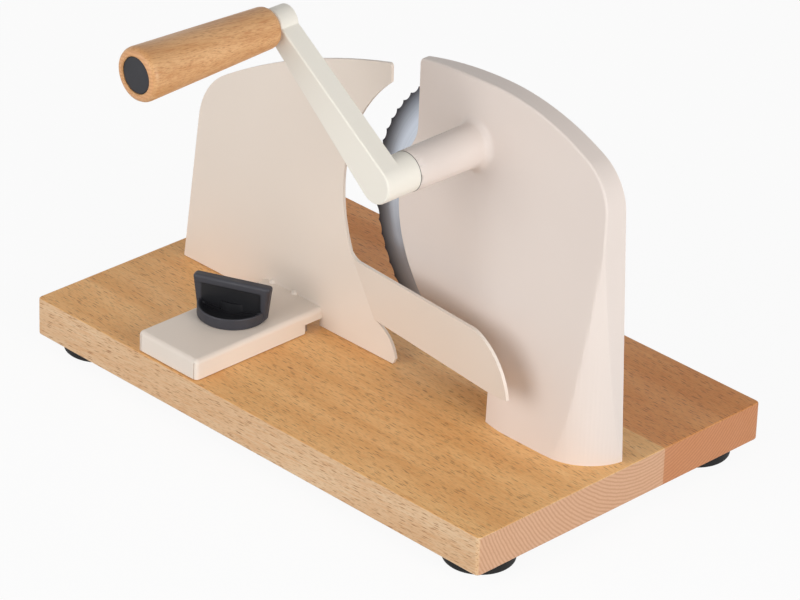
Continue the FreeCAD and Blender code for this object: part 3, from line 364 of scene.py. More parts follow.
@dataclass(frozen=True)
class Beech:
    """Steamed beech, planed and oiled: even warm tan, short dark pore flecks along the grain,
    a soft silky gloss, and curved growth rings where it is cut across."""

    name: str
    pale: str
    deep: str
    fleck: str
    ring: str
    end: str
    along: str = "X"
    # Painted light and shade by face direction: tints for the top and for the sides.
    top_painted_shade_tint: str = "FFFFFF"
    side_painted_light_tint: str = "FFFFFF"
    glued_rear: float | None = None
    seam_half: float = 0.05 * MM
    rear_tint: str = "EFD0B4"
    fleck_length_mm: float = 9.0
    fleck_width_mm: float = 1.1
    fleck_strength: float = 0.8
    band_length_mm: float = 150.0
    band_width_mm: float = 16.0
    fibre_length_mm: float = 16.0
    fibre_width_mm: float = 0.7
    ring_spacing_mm: float = 2.3
    ring_centre: Triple = (0.0, 20 * MM, 90 * MM)
    pore_depth_mm: float = 0.03
    grain_tilt: Triple = (0.0, 0.05, 0.03)
    roughness: float = 0.48

    def sizes(self, length: float, width: float) -> Triple:
        """Sizes of a stretched pattern.

        Args:
            length: Size along the grain, in mm.
            width: Size across it, in mm.

        Returns:
            The sizes along X, Y and Z.
        """
        return (length, width, width) if self.along == "X" else (width, length, width)

    def build(self) -> bpy.types.Material:
        """Make the material.

        Returns:
            The node material.
        """
        material, tree, straight = blank_material(self.name)
        tilted = {"Vector": straight, "Rotation": self.grain_tilt}
        place = put(tree, "ShaderNodeMapping", tilted).outputs["Vector"]
        band_sizes = self.sizes(self.band_length_mm, self.band_width_mm)
        band = noise(tree, stretched(tree, place, band_sizes), 3.0, 0.5)
        fibre_sizes = self.sizes(self.fibre_length_mm, self.fibre_width_mm)
        fibre = noise(tree, stretched(tree, place, fibre_sizes), 2.0, 0.6)
        band_share = ramp(tree, band, 0.36, 0.64, 0.0, 1.0)
        colour = blend_colours(tree, band_share, linear(self.pale), linear(self.deep))
        fibre_share = ramp(tree, fibre, 0.42, 0.72, 0.0, 0.5)
        colour = blend_colours(tree, fibre_share, colour, linear(self.deep), "MULTIPLY")
        normal = put(tree, "ShaderNodeNewGeometry").outputs["Normal"]
        # The planed top is painted warmer and deeper than the sawn edges by the way each face
        # points: painted shade on the top, painted light on the sides.
        upper = ramp(tree, part_of(tree, normal, "Z"), 0.6, 0.9, 0.0, 1.0)
        painted_light_tint = blend_colours(tree, upper, linear(self.side_painted_light_tint), linear(self.top_painted_shade_tint))
        colour = blend_colours(tree, 1.0, colour, painted_light_tint, "MULTIPLY")
        fleck = self.flecks(tree, place)
        colour = blend_colours(tree, fleck, colour, linear(self.fleck))
        facing = maths(tree, "ABSOLUTE", part_of(tree, normal, self.along))
        end_share = ramp(tree, facing, 0.75, 0.9, 0.0, 1.0)
        colour = blend_colours(tree, end_share, colour, self.end_grain(tree, straight))
        if self.glued_rear is not None:
            seam = (self.glued_rear - self.seam_half, self.glued_rear + self.seam_half)
            rear = ramp(tree, part_of(tree, straight, "Y"), *seam, 0.0, 1.0)
            colour = blend_colours(tree, rear, colour, linear(self.rear_tint), "MULTIPLY")
        height = maths(tree, "SUBTRACT", fibre, fleck)
        rough = ramp(tree, band, 0.3, 0.7, self.roughness - 0.05, self.roughness + 0.08)
        close_material(tree, colour, rough, bump(tree, height, self.pore_depth_mm), IOR=1.45)
        return material

    def flecks(self, tree: Tree, place: Socket) -> Socket:
        """Short dark rays along the grain, in two sizes.

        Args:
            tree: The material's tree.
            place: Object coordinates.

        Returns:
            Share of the fleck colour.
        """
        layers = []
        for size, strength in ((1.0, self.fleck_strength), (0.55, self.fleck_strength * 0.6)):
            sizes = self.sizes(self.fleck_length_mm * size, self.fleck_width_mm * size)
            vector = stretched(tree, place, sizes, shift=(size * 7, size * 3, size * 5))
            inputs = {"Vector": vector, "Scale": 1.0, "Randomness": 1.0}
            cells = put(tree, "ShaderNodeTexVoronoi", inputs)
            core = ramp(tree, cells.outputs["Distance"], 0.16, 0.36, 1.0, 0.0)
            chance = put(tree, "ShaderNodeSeparateColor", {"Color": cells.outputs["Color"]})
            kept = ramp(tree, chance.outputs["Red"], 0.1, 0.6, 0.2, strength)
            layers.append(maths(tree, "MULTIPLY", core, kept))
        return maths(tree, "MAXIMUM", *layers)

    def end_grain(self, tree: Tree, place: Socket) -> Socket:
        """Growth rings across the grain.

        Args:
            tree: The material's tree.
            place: Object coordinates.

        Returns:
            The end grain's colour.
        """
        moved = moved_to(tree, place, self.ring_centre)
        vector = stretched(tree, moved, self.sizes(4000.0, 10.0))
        rings = put(
            tree,
            "ShaderNodeTexWave",
            {
                "Vector": vector,
                "Scale": 3.14 / self.ring_spacing_mm,
                "Distortion": 2.6,
                "Detail": 2.0,
                "Detail Scale": 0.6,
            },
            wave_type="RINGS",
            rings_direction=self.along,
        ).outputs["Fac"]
        pores = noise(tree, stretched(tree, place, self.sizes(400.0, 0.8)), 2.0, 0.6)
        share = ramp(tree, rings, 0.3, 0.95, 0.0, 0.6)
        colour = blend_colours(tree, share, linear(self.end), linear(self.ring))
        pore_share = ramp(tree, pores, 0.45, 0.75, 0.0, 0.4)
        return blend_colours(tree, pore_share, colour, linear(self.ring))


@dataclass(frozen=True)
class PowderCoat:
    """Epoxy-polyester powder coat on steel or die-cast aluminium: one even colour with a faint
    orange-peel skin and a broad satin highlight."""

    name: str
    colour: str
    shade: str
    roughness: float = 0.42
    peel_mm: float = 1.1
    peel_depth_mm: float = 0.006

    def build(self) -> bpy.types.Material:
        """Make the material.

        Returns:
            The node material.
        """
        material, tree, place = blank_material(self.name)
        cloud = noise(tree, stretched(tree, place, (90.0, 90.0, 90.0)), 2.0, 0.5)
        peel = noise(tree, stretched(tree, place, (self.peel_mm,) * 3), 2.0, 0.5)
        share = ramp(tree, cloud, 0.35, 0.65, 0.0, 0.35)
        colour = blend_colours(tree, share, linear(self.colour), linear(self.shade))
        rough = ramp(tree, peel, 0.3, 0.7, self.roughness - 0.04, self.roughness + 0.05)
        close_material(tree, colour, rough, bump(tree, peel, self.peel_depth_mm), IOR=1.42)
        return material


@dataclass(frozen=True)
class MouldedPlastic:
    """Injection-moulded ABS, nylon or acetal: eroded mould texture, matt, with a soft sheen."""

    name: str
    colour: str
    lift: str
    roughness: float = 0.5
    # The real texture is near 0.1 mm; it is drawn coarser, so that a baked map can hold it.
    grain_mm: float = 0.6
    grain_depth_mm: float = 0.02
    # Painted shade: a colour laid inside the hollows, with its centre, reach and fade.
    hollow: str | None = None
    painted_shade_centre: Triple = ORIGIN
    painted_shade_radius: float = 0.0
    painted_shade_fade: float = 1.2 * MM

    def build(self) -> bpy.types.Material:
        """Make the material.

        Returns:
            The node material.
        """
        material, tree, place = blank_material(self.name)
        grain = noise(tree, stretched(tree, place, (self.grain_mm,) * 3), 3.0, 0.6)
        cloud = noise(tree, stretched(tree, place, (14.0, 14.0, 14.0)), 2.0, 0.5)
        share = ramp(tree, grain, 0.35, 0.75, 0.0, 0.5)
        colour = blend_colours(tree, share, linear(self.colour), linear(self.lift))
        # Painted shade inside the hollows.
        if self.hollow is not None:
            colour = blend_colours(tree, self.inside(tree, place), colour, linear(self.hollow))
        rough = ramp(tree, cloud, 0.3, 0.7, self.roughness - 0.06, self.roughness + 0.06)
        close_material(tree, colour, rough, bump(tree, grain, self.grain_depth_mm), IOR=1.42)
        return material

    def inside(self, tree: Tree, place: Socket) -> Socket:
        """Share of the painted shade, a darker colour laid inside the hollows.

        Args:
            tree: The material's tree.
            place: Object coordinates.

        Returns:
            The share.
        """
        away = off_axis(tree, place, self.painted_shade_centre, (1.0, 1.0, 0.0))
        rim = self.painted_shade_radius
        within = ramp(tree, away, rim - self.painted_shade_fade, rim, 1.0, 0.0)
        lip = self.painted_shade_centre[2]
        under = ramp(tree, part_of(tree, place, "Z"), lip - MM, lip + MM, 1.0, 0.0)
        return maths(tree, "MULTIPLY", within, under)


@dataclass(frozen=True)
class MetalSkin:
    """Bare metal with the marks of how it was worked: ground in circles, drawn or cast."""

    name: str
    colour: str
    shade: str
    roughness: float = 0.32
    line_mm: Triple = (0.5, 0.5, 0.5)
    line_depth_mm: float = 0.01

    def build(self) -> bpy.types.Material:
        """Make the material.

        Returns:
            The node material.
        """
        material, tree, place = blank_material(self.name)
        lines = noise(tree, stretched(tree, place, self.line_mm), 3.0, 0.6)
        cloud = noise(tree, stretched(tree, place, (25.0, 25.0, 25.0)), 2.0, 0.5)
        share = ramp(tree, lines, 0.3, 0.7, 0.0, 0.6)
        colour = blend_colours(tree, share, linear(self.colour), linear(self.shade))
        rough = ramp(tree, cloud, 0.3, 0.7, self.roughness - 0.05, self.roughness + 0.07)
        close_material(tree, colour, rough, bump(tree, lines, self.line_depth_mm), Metallic=1.0)
        return material


@dataclass(frozen=True)
class BladeSteel:
    """Stainless knife steel, ground in rings about the axle; the hollow-ground rim where the edge
    was honed is painted darker, a painted dark reflection."""

    name: str
    colour: str
    shade: str
    # Colour of the painted dark reflection towards the rim.
    rim: str
    axle: tuple[float, float]
    painted_reflection_start: float
    painted_reflection_fade: float = 14 * MM
    ring_mm: float = 0.9
    ring_depth_mm: float = 0.006
    roughness: float = 0.3

    def build(self) -> bpy.types.Material:
        """Make the material.

        Returns:
            The node material.
        """
        material, tree, place = blank_material(self.name)
        radius = off_axis(tree, place, (self.axle[0], 0.0, self.axle[1]), (1.0, 0.0, 1.0))
        along = maths(tree, "MULTIPLY", radius, 1 / (self.ring_mm * MM))
        ring_place = put(tree, "ShaderNodeCombineXYZ", {"X": along}).outputs["Vector"]
        rings = noise(tree, ring_place, 4.0, 0.7)
        share = ramp(tree, rings, 0.3, 0.7, 0.0, 0.7)
        colour = blend_colours(tree, share, linear(self.colour), linear(self.shade))
        # Painted dark reflection: the colour darkens towards the rim.
        edge = ramp(tree, radius, self.painted_reflection_start, self.painted_reflection_start + self.painted_reflection_fade, 0.0, 1.0)
        colour = blend_colours(tree, edge, colour, linear(self.rim))
        rough = ramp(tree, rings, 0.3, 0.7, self.roughness - 0.04, self.roughness + 0.08)
        close_material(tree, colour, rough, bump(tree, rings, self.ring_depth_mm), Metallic=1.0)
        return material


# --- mesh tools


def turned_mesh(profile: Profile, steps: int = 64) -> Mesh:
    """Spin a closed half profile about Z.

    Args:
        profile: Radius and height of each corner, in mm, from the axis and back to it.
        steps: Steps round the circle.

    Returns:
        The turned solid, closed, in metres about the Z axis.
    """
    bm = bmesh.new()
    corners = [bm.verts.new((radius * MM, 0.0, height * MM)) for radius, height in profile]
    edges = [bm.edges.new(pair) for pair in zip(corners, corners[1:])]
    if profile[0][0] > 0:
        edges.append(bm.edges.new((corners[-1], corners[0])))
    bmesh.ops.spin(
        bm,
        geom=corners + edges,
        cent=ORIGIN,
        axis=(0, 0, 1),
        angle=math.tau,
        steps=steps,
        use_merge=True,
    )
    bmesh.ops.remove_doubles(bm, verts=bm.verts, dist=MERGE_GAP)
    bmesh.ops.recalc_face_normals(bm, faces=bm.faces)
    return bm


def block_mesh(low: Triple, high: Triple) -> Mesh:
    """A block between two corners.

    Args:
        low: Lowest corner in metres.
        high: Highest corner in metres.

    Returns:
        The block.
    """
    bm = bmesh.new()
    size = [b - a for a, b in zip(low, high)]
    middle = [(a + b) / 2 for a, b in zip(low, high)]
    matrix = Matrix.Translation(middle) @ Matrix.Diagonal((*size, 1.0))
    bmesh.ops.create_cube(bm, size=1.0, matrix=matrix)
    return bm


def turned(bm: Mesh, axis: str, degrees: float, place: Triple) -> Mesh:
    """Turn a shape about an axis and move it.

    Args:
        bm: The shape.
        axis: X, Y or Z.
        degrees: The turn.
        place: Where its origin goes, in metres.

    Returns:
        The same shape.
    """
    matrix = Matrix.Rotation(math.radians(degrees), 3, axis)
    bmesh.ops.rotate(bm, verts=bm.verts, cent=ORIGIN, matrix=matrix)
    bmesh.ops.translate(bm, verts=bm.verts, vec=place)
    return bm


def round_off(bm: Mesh, edges: list, width: float, segments: int) -> None:
    """Round edges of a mesh.

    Args:
        bm: The mesh.
        edges: The edges.
        width: Width of the rounding in metres.
        segments: Steps across it.
    """
    bmesh.ops.bevel(
        bm,
        geom=edges,
        offset=width,
        offset_type="OFFSET",
        segments=segments,
        profile=0.5,
        affect="EDGES",
        material=-1,
        clamp_overlap=True,
    )


def places(low: float, high: float, pitch: float) -> list[float]:
    """Even places between two ends.

    Args:
        low: First end, left out.
        high: Last end, left out.
        pitch: Distance between places.

    Returns:
        The places.
    """
    return [low + pitch * i for i in range(1, int((high - low) / pitch))]


def mesh_from(bm: Mesh, name: str) -> bpy.types.Object:
    """Make an object of a mesh.

    Args:
        bm: The mesh, freed here.
        name: The object's name.

    Returns:
        The object, linked to the scene.
    """
    mesh = bpy.data.meshes.new(name)
    bm.to_mesh(mesh)
    bm.free()
    obj = bpy.data.objects.new(name, mesh)
    bpy.context.scene.collection.objects.link(obj)
    return obj


def merged(base: Mesh, tools: list[tuple[Mesh, str]]) -> Mesh:
    """Join or cut solids.

    Args:
        base: The first solid.
        tools: Solids with UNION, DIFFERENCE or INTERSECT.

    Returns:
        The result as a new mesh.
    """
    target = mesh_from(base, "blank")
    spare = []
    for tool, operation in tools:
        other = mesh_from(tool, "tool")
        spare.append(other)
        change = target.modifiers.new("change", "BOOLEAN")
        change.operation = operation
        change.object = other
        change.solver = "EXACT"
    view = bpy.context.evaluated_depsgraph_get()
    mesh = bpy.data.meshes.new_from_object(target.evaluated_get(view))
    bm = bmesh.new()
    bm.from_mesh(mesh)
    for obj in [target, *spare]:
        data = obj.data
        bpy.data.objects.remove(obj)
        bpy.data.meshes.remove(data)
    bpy.data.meshes.remove(mesh)
    bmesh.ops.remove_doubles(bm, verts=bm.verts, dist=MERGE_GAP)
    return bm


Finish = Beech | PowderCoat | MouldedPlastic | MetalSkin | BladeSteel


class Finisher:
    """Gives a shape its finish and its body, and reports it."""

    def __init__(self, frame: dict) -> None:
        """Keep the frame and build no material yet.

        Args:
            frame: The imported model.
        """
        self.frame = frame
        self.materials: dict[str, bpy.types.Material] = {}

    def material(self, finish: Finish) -> bpy.types.Material:
        """The material of a finish, built once.

        Args:
            finish: The finish.

        Returns:
            The material.
        """
        if finish.name not in self.materials:
            self.materials[finish.name] = finish.build()
        return self.materials[finish.name]

    def copy_of(self, node: str) -> Mesh:
        """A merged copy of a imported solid, its flat faces made whole.

        Args:
            node: The solid's name.

        Returns:
            The copy.
        """
        bm = bmesh.new()
        bm.from_mesh(self.frame["nodes"][node].data)
        bmesh.ops.remove_doubles(bm, verts=bm.verts, dist=MERGE_GAP)
        flat = math.radians(0.2)
        bmesh.ops.dissolve_limit(
            bm, angle_limit=flat, use_dissolve_boundaries=False, verts=bm.verts, edges=bm.edges
        )
        return bm

    def piece(
        self,
        bm: Mesh,
        name: str,
        finish: Finish,
        slot: Slot,
        body: Body,
        nodes: tuple[str, ...],
        edge: float = 0.0,
        segments: int = 2,
        smooth_degrees: float = 32.0,
    ) -> bpy.types.Object:
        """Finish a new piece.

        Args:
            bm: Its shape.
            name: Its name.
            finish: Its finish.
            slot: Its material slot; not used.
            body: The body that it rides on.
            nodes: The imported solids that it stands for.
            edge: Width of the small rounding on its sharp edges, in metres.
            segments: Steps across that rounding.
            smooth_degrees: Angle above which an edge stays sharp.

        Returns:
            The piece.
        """
        obj = mesh_from(bm, name)
        obj.data.shade_smooth()
        obj.data.set_sharp_from_angle(angle=math.radians(smooth_degrees))
        if edge > 0:
            soften = obj.modifiers.new("edge_rounding", "BEVEL")
            soften.width = edge
            soften.segments = segments
            soften.limit_method = "ANGLE"
            soften.angle_limit = math.radians(smooth_degrees)
            soften.harden_normals = True
        flatten = obj.modifiers.new("flat_faces_stay_flat", "WEIGHTED_NORMAL")
        flatten.keep_sharp = True
        obj.data.materials.append(self.material(finish))
        if nodes:
            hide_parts(*nodes)
        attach(obj, body.value)
        logger.info("%s: %d faces on %s", name, len(obj.data.polygons), body.value)
        return obj

    def dress(self, finish: Finish, *nodes: str) -> None:
        """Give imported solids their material.

        Args:
            finish: Their finish.
            *nodes: The solids' names.
        """
        material = self.material(finish)
        for node in nodes:
            obj = self.frame["nodes"][node]
            if not obj.material_slots:
                obj.data.materials.append(material)
            for held in obj.material_slots:
                held.material = material
            logger.info("%s: kept, %s", node, finish.name)


# Even, warm, planed wood with darker flecks: the big calm surface of the board.
BOARD_BEECH = Beech(
    name="oiled_beech",
    pale="F6D2A4",
    deep="EBC08F",
    fleck="9C6436",
    ring="BC8864",
    end="D8AC8A",
    # The board's top is painted deeper and its sides paler: painted shade and painted light.
    top_painted_shade_tint="FFEECC",
    side_painted_light_tint="F0F2FA",
    glued_rear=35 * MM,
)
# The same wood turned and lacquered: a little redder and glossier in the hand.
GRIP_BEECH = Beech(
    name="lacquered_beech",
    pale="E2B380",
    deep="D29E6A",
    fleck="A8713F",
    ring="C58C5E",
    end="DDA674",
    along="Y",
    fleck_length_mm=6.0,
    fleck_width_mm=0.9,
    fleck_strength=0.6,
    band_length_mm=70.0,
    band_width_mm=7.0,
    grain_tilt=(0.06, 0.0, 0.12),
    roughness=0.4,
)
# Cream satin coats: the housing slightly pinkish, the sheet warmer, the crank lightest.
HOUSING_COAT = PowderCoat("cream_powder_coat", "E6DAD2", "E1D4CC")
SHEET_COAT = PowderCoat("cream_coat_on_sheet", "ECE0D4", "E6D9CC")
CRANK_COAT = PowderCoat("light_cream_coat", "F2EDE2", "EDE8DC")
# Dark moulded parts; inside the knob's hollows a near-black colour is painted shade.
CAP_ABS = MouldedPlastic("anthracite_abs", "232328", "2B2B31", grain_depth_mm=0.01)
KNOB_ABS = MouldedPlastic(
    "anthracite_abs_painted_hollow_shade",
    "35353B",
    "3F3F46",
    grain_depth_mm=0.01,
    # Near-black painted shade in the wing's hollows.
    hollow="101014",
    painted_shade_centre=(-77.5 * MM, -60.2 * MM, 66.2 * MM),
    painted_shade_radius=20.6 * MM,
)
# Grey colour of the ring that paints the shade in the joint gap between crank hub and boss.
GAP_SHADE_GREY = MouldedPlastic("grey_painted_gap_shade", "5A5653", "66625F", roughness=0.55)
GEAR_ACETAL = MouldedPlastic(
    "natural_acetal", "E4E2D9", "DAD8CE", roughness=0.4, grain_mm=2.0, grain_depth_mm=0.004
)
# Dull black rubber: keeps the board visibly off the floor.
FOOT_RUBBER = MouldedPlastic("black_rubber", "090909", "101010", roughness=0.72, grain_mm=1.2)
# Bare metals: bright dots at the screws, warm bushes, brushed rail, cool ground blade.
ZINC_STEEL = MetalSkin("zinc_plated_steel", "B9BBBD", "A5A7AA", roughness=0.34)
BEARING_BRONZE = MetalSkin("sintered_bronze", "A67F4C", "8E6A3C", roughness=0.45)
DRAWN_ALUMINIUM = MetalSkin(
    "drawn_aluminium",
    "B9BABC",
    "A8A9AB",
    roughness=0.4,
    line_mm=(0.4, 60.0, 0.4),
    line_depth_mm=0.008,
)
KNIFE_STEEL = BladeSteel(
    "ground_knife_steel",
    colour="D0D7E2",
    shade="BDC5D2",
    # The rim colour is a painted dark reflection.
    rim="54565E",
    axle=(75 * MM, 135.5 * MM),
    painted_reflection_start=85 * MM,
)


# --- sub-assemblies


@dataclass
class Board:
    """Glued beech board on four rubber feet."""

    shop: Finisher
    corner: float = 3 * MM
    edge: float = 1.1 * MM
    foot_profile: Profile = (
        (4.6, 0.0),
        (20.4, 0.0),
        (21.5, 1.1),
        (21.5, 7.9),
        (20.6, 9.0),
        (0.0, 9.0),
        (0.0, 3.0),
        (4.6, 3.0),
    )

    def build(self) -> None:
        """Build the board, its feet and the screws in it."""
        low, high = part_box("base_board")
        bm = block_mesh(tuple(low), tuple(high))
        upright = [e for e in bm.edges if abs(e.verts[0].co.z - e.verts[1].co.z) > 1e-4]
        round_off(bm, upright, self.corner, 5)
        flat = [e for e in bm.edges if e.calc_face_angle(0.0) > math.radians(60)]
        round_off(bm, flat, self.edge, 3)
        self.shop.piece(bm, "beech_board", BOARD_BEECH, Slot.BEECH, Body.BASE, ("base_board",))
        self.build_feet()
        self.shop.dress(ZINC_STEEL, "foot_screws", "rail_screws", "housing_screws")

    def build_feet(self) -> None:
        """Turn one foot and set it at the four corners."""
        low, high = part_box("rubber_feet")
        radius = max(across for across, _ in self.foot_profile) * MM
        feet = bmesh.new()
        for x in (low.x + radius, high.x - radius):
            for y in (low.y + radius, high.y - radius):
                foot = turned_mesh(self.foot_profile)
                bmesh.ops.translate(foot, verts=foot.verts, vec=(x, y, low.z))
                spare = bpy.data.meshes.new("foot")
                foot.to_mesh(spare)
                foot.free()
                feet.from_mesh(spare)
                bpy.data.meshes.remove(spare)
        self.shop.piece(
            feet, "turned_feet", FOOT_RUBBER, Slot.RUBBER, Body.BASE, ("rubber_feet",), 0.5 * MM
        )


@dataclass
class Housing:
    """Thin-walled cream housing with the crank boss, closed by a plate at the rear."""

    shop: Finisher
    floor_z: float = 34 * MM
    depth: float = 24 * MM
    lean_degrees: float = 4.75
    ramp_start: tuple[float, float] = (-2 * MM, 1.5 * MM)
    ramp_end: tuple[float, float] = (104 * MM, -24 * MM)
    ramp_radius: float = 352 * MM
    side_centre: tuple[float, float] = (150 * MM, 10.2 * MM)
    side_radius: float = 34.2 * MM
    ramp_blend: float = 6.0 * MM
    side_blend: float = 0.9 * MM
    wall: float = 2 * MM
    boss_reach: float = 12 * MM
    strip: float = 3 * MM
    course: float = 7 * MM
    plain_left: float = 30 * MM
    front_facing: float = -0.25

    def build(self) -> None:
        """Build the housing and dress what it holds."""
        shell = self.shop.copy_of("housing")
        self.soften_front(shell)
        self.shop.piece(shell, "housing_shell", HOUSING_COAT, Slot.ENAMEL, Body.BASE, ("housing",))
        self.shop.dress(HOUSING_COAT, "back_plate")
        self.shop.dress(ZINC_STEEL, "back_plate_screws", "blade_axle", "axle_screw")
        self.shop.dress(BEARING_BRONZE, "front_bush", "rear_bush")

    def ramp_y(self, x: float) -> float:
        """Depth of the hollow ramp.

        Args:
            x: Place across.

        Returns:
            The depth.
        """
        start, end = Vector(self.ramp_start), Vector(self.ramp_end)
        chord = end - start
        out = Vector((chord.y, -chord.x)).normalized()
        drop = math.sqrt(self.ramp_radius**2 - (chord.length / 2) ** 2)
        centre = (start + end) / 2 + out * drop
        return centre.y + math.sqrt(max(self.ramp_radius**2 - (x - centre.x) ** 2, 0.0))

    def lean_y(self, z: float) -> float:
        """Depth of the leaning front.

        Args:
            z: Height.

        Returns:
            The depth.
        """
        return -self.depth + (z - self.floor_z) * math.tan(math.radians(self.lean_degrees))

    def side_y(self, x: float) -> float:
        """Depth of the rounded right side.

        Args:
            x: Place across.

        Returns:
            The depth, or one far in front where the side has not begun.
        """
        away = x - self.side_centre[0]
        if away < 0:
            return -1.0
        return self.side_centre[1] - math.sqrt(max(self.side_radius**2 - away**2, 0.0))

    @staticmethod
    def blend(first: float, second: float, width: float) -> float:
        """The deeper of two depths, with the crease between them smoothed.

        Args:
            first: First depth.
            second: Second depth.
            width: Difference of depth up to which they blend.

        Returns:
            The depth.
        """
        near = max(width - abs(first - second), 0.0) / width
        return max(first, second) + near * near * width / 4

    def soften_front(self, bm: Mesh) -> None:
        """Turn the creases of the cast front to the soft changes of a polished pattern.

        Args:
            bm: Copy of the housing.
        """
        low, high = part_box("housing")
        left = low.x + self.plain_left
        cuts = [((x, 0.0, 0.0), (1.0, 0.0, 0.0)) for x in places(left, high.x, self.strip)]
        cuts += [((0.0, 0.0, z), (0.0, 0.0, 1.0)) for z in places(low.z, high.z, self.course)]
        for point, normal in cuts:
            faces = [f for f in bm.faces if f.normal.y < self.front_facing]
            edges = {e for f in faces for e in f.edges}
            verts = {v for f in faces for v in f.verts}
            bmesh.ops.bisect_plane(
                bm, geom=[*faces, *edges, *verts], dist=MERGE_GAP, plane_co=point, plane_no=normal
            )
        for vert in bm.verts:
            x, y, z = vert.co
            ramp_depth, lean_depth, side_depth = self.ramp_y(x), self.lean_y(z), self.side_y(x)
            sharp = max(ramp_depth, lean_depth, side_depth)
            if ramp_depth > side_depth:
                soft = self.blend(ramp_depth, lean_depth, self.ramp_blend)
            else:
                soft = self.blend(side_depth, lean_depth, self.side_blend)
            behind = y - sharp
            if behind > 0:
                share = 1 - min(max(behind / self.wall * 2 - 1, 0.0), 1.0)
            else:
                share = 1 + behind / self.boss_reach
            vert.co.y += (soft - sharp) * max(share, 0.0)
        bmesh.ops.recalc_face_normals(bm, faces=bm.faces)


@dataclass
class Fence:
    """Sheet-steel fence with its bent finger and its carriage on the rail."""

    shop: Finisher
    edge: float = 0.5 * MM
    bend_degrees: tuple[float, float] = (8.0, 16.0)
    bend_length: float = 15 * MM
    bend_left: float = -30 * MM
    bend_width: float = 7.0 * MM
    fold_width: float = 3.6 * MM
    seam_width: float = 0.55 * MM
    seam_depth: float = 1.0 * MM
    plate_front: float = -14 * MM
    carriage_low: Triple = (-99.7 * MM, -116.5 * MM, 34.5 * MM)
    carriage_high: Triple = (-47.6 * MM, -14 * MM, 47.4 * MM)
    seam_inset: float = 2.6 * MM
    seam_stop: float = 1.8 * MM
    gusset_places: tuple[float, ...] = (-91.6 * MM, -72.4 * MM)
    gusset_radius: float = 2.5 * MM

    def build(self) -> None:
        """Build the fence and dress the rail below it."""
        bm = self.shop.copy_of("fence_plate")
        gentle, steep = (math.radians(v) for v in self.bend_degrees)
        bends = [
            e
            for e in bm.edges
            if gentle < e.calc_face_angle(0.0) < steep
            and e.calc_length() > self.bend_length
            and min(v.co.x for v in e.verts) > self.bend_left
        ]
        logger.info("finger bend: %d edges", len(bends))
        round_off(bm, bends, self.bend_width, 8)
        folds = [e for e in bm.edges if all(self.on_fold(v.co) for v in e.verts)]
        logger.info("carriage fold: %d edges", len(folds))
        round_off(bm, folds, self.fold_width, 6)
        cuts = [(tool, "DIFFERENCE") for tool in self.seams()]
        bm = merged(bm, cuts + [(tool, "UNION") for tool in self.gussets()])
        self.shop.piece(
            bm,
            "fence_sheet",
            SHEET_COAT,
            Slot.PLATE_ENAMEL,
            Body.FENCE,
            ("fence_plate",),
            self.edge,
        )
        self.shop.dress(DRAWN_ALUMINIUM, "slide_rail")
        self.shop.dress(ZINC_STEEL, "clamp_nut", "clamp_washer")

    def on_fold(self, place: Vector) -> bool:
        """Whether a corner lies on the fold between plate and carriage.

        Args:
            place: The corner.

        Returns:
            True on the fold.
        """
        gaps = (place.z - self.carriage_high[2], place.y - self.plate_front)
        return all(abs(gap) < 0.1 * MM for gap in gaps)

    def seams(self) -> list[Mesh]:
        """Butt joints where the carriage's front flap meets its side flaps.

        Returns:
            The cutters.
        """
        low, high = self.carriage_low, self.carriage_high
        top = high[2] - self.seam_stop
        return [
            block_mesh(
                (x, low[1] - MM, low[2] - MM), (x + self.seam_width, low[1] + self.seam_depth, top)
            )
            for x in (low[0] + self.seam_inset, high[0] - self.seam_inset)
        ]

    def gussets(self) -> list[Mesh]:
        """Small pressed bosses that stiffen the fold of the carriage's tongue.

        Returns:
            The added forms.
        """
        forms = []
        for x in self.gusset_places:
            form = bmesh.new()
            bmesh.ops.create_uvsphere(form, u_segments=24, v_segments=12, radius=self.gusset_radius)
            corner = (x, self.plate_front + 0.3 * MM, self.carriage_high[2] - 0.2 * MM)
            bmesh.ops.translate(form, verts=form.verts, vec=corner)
            forms.append(form)
        return forms


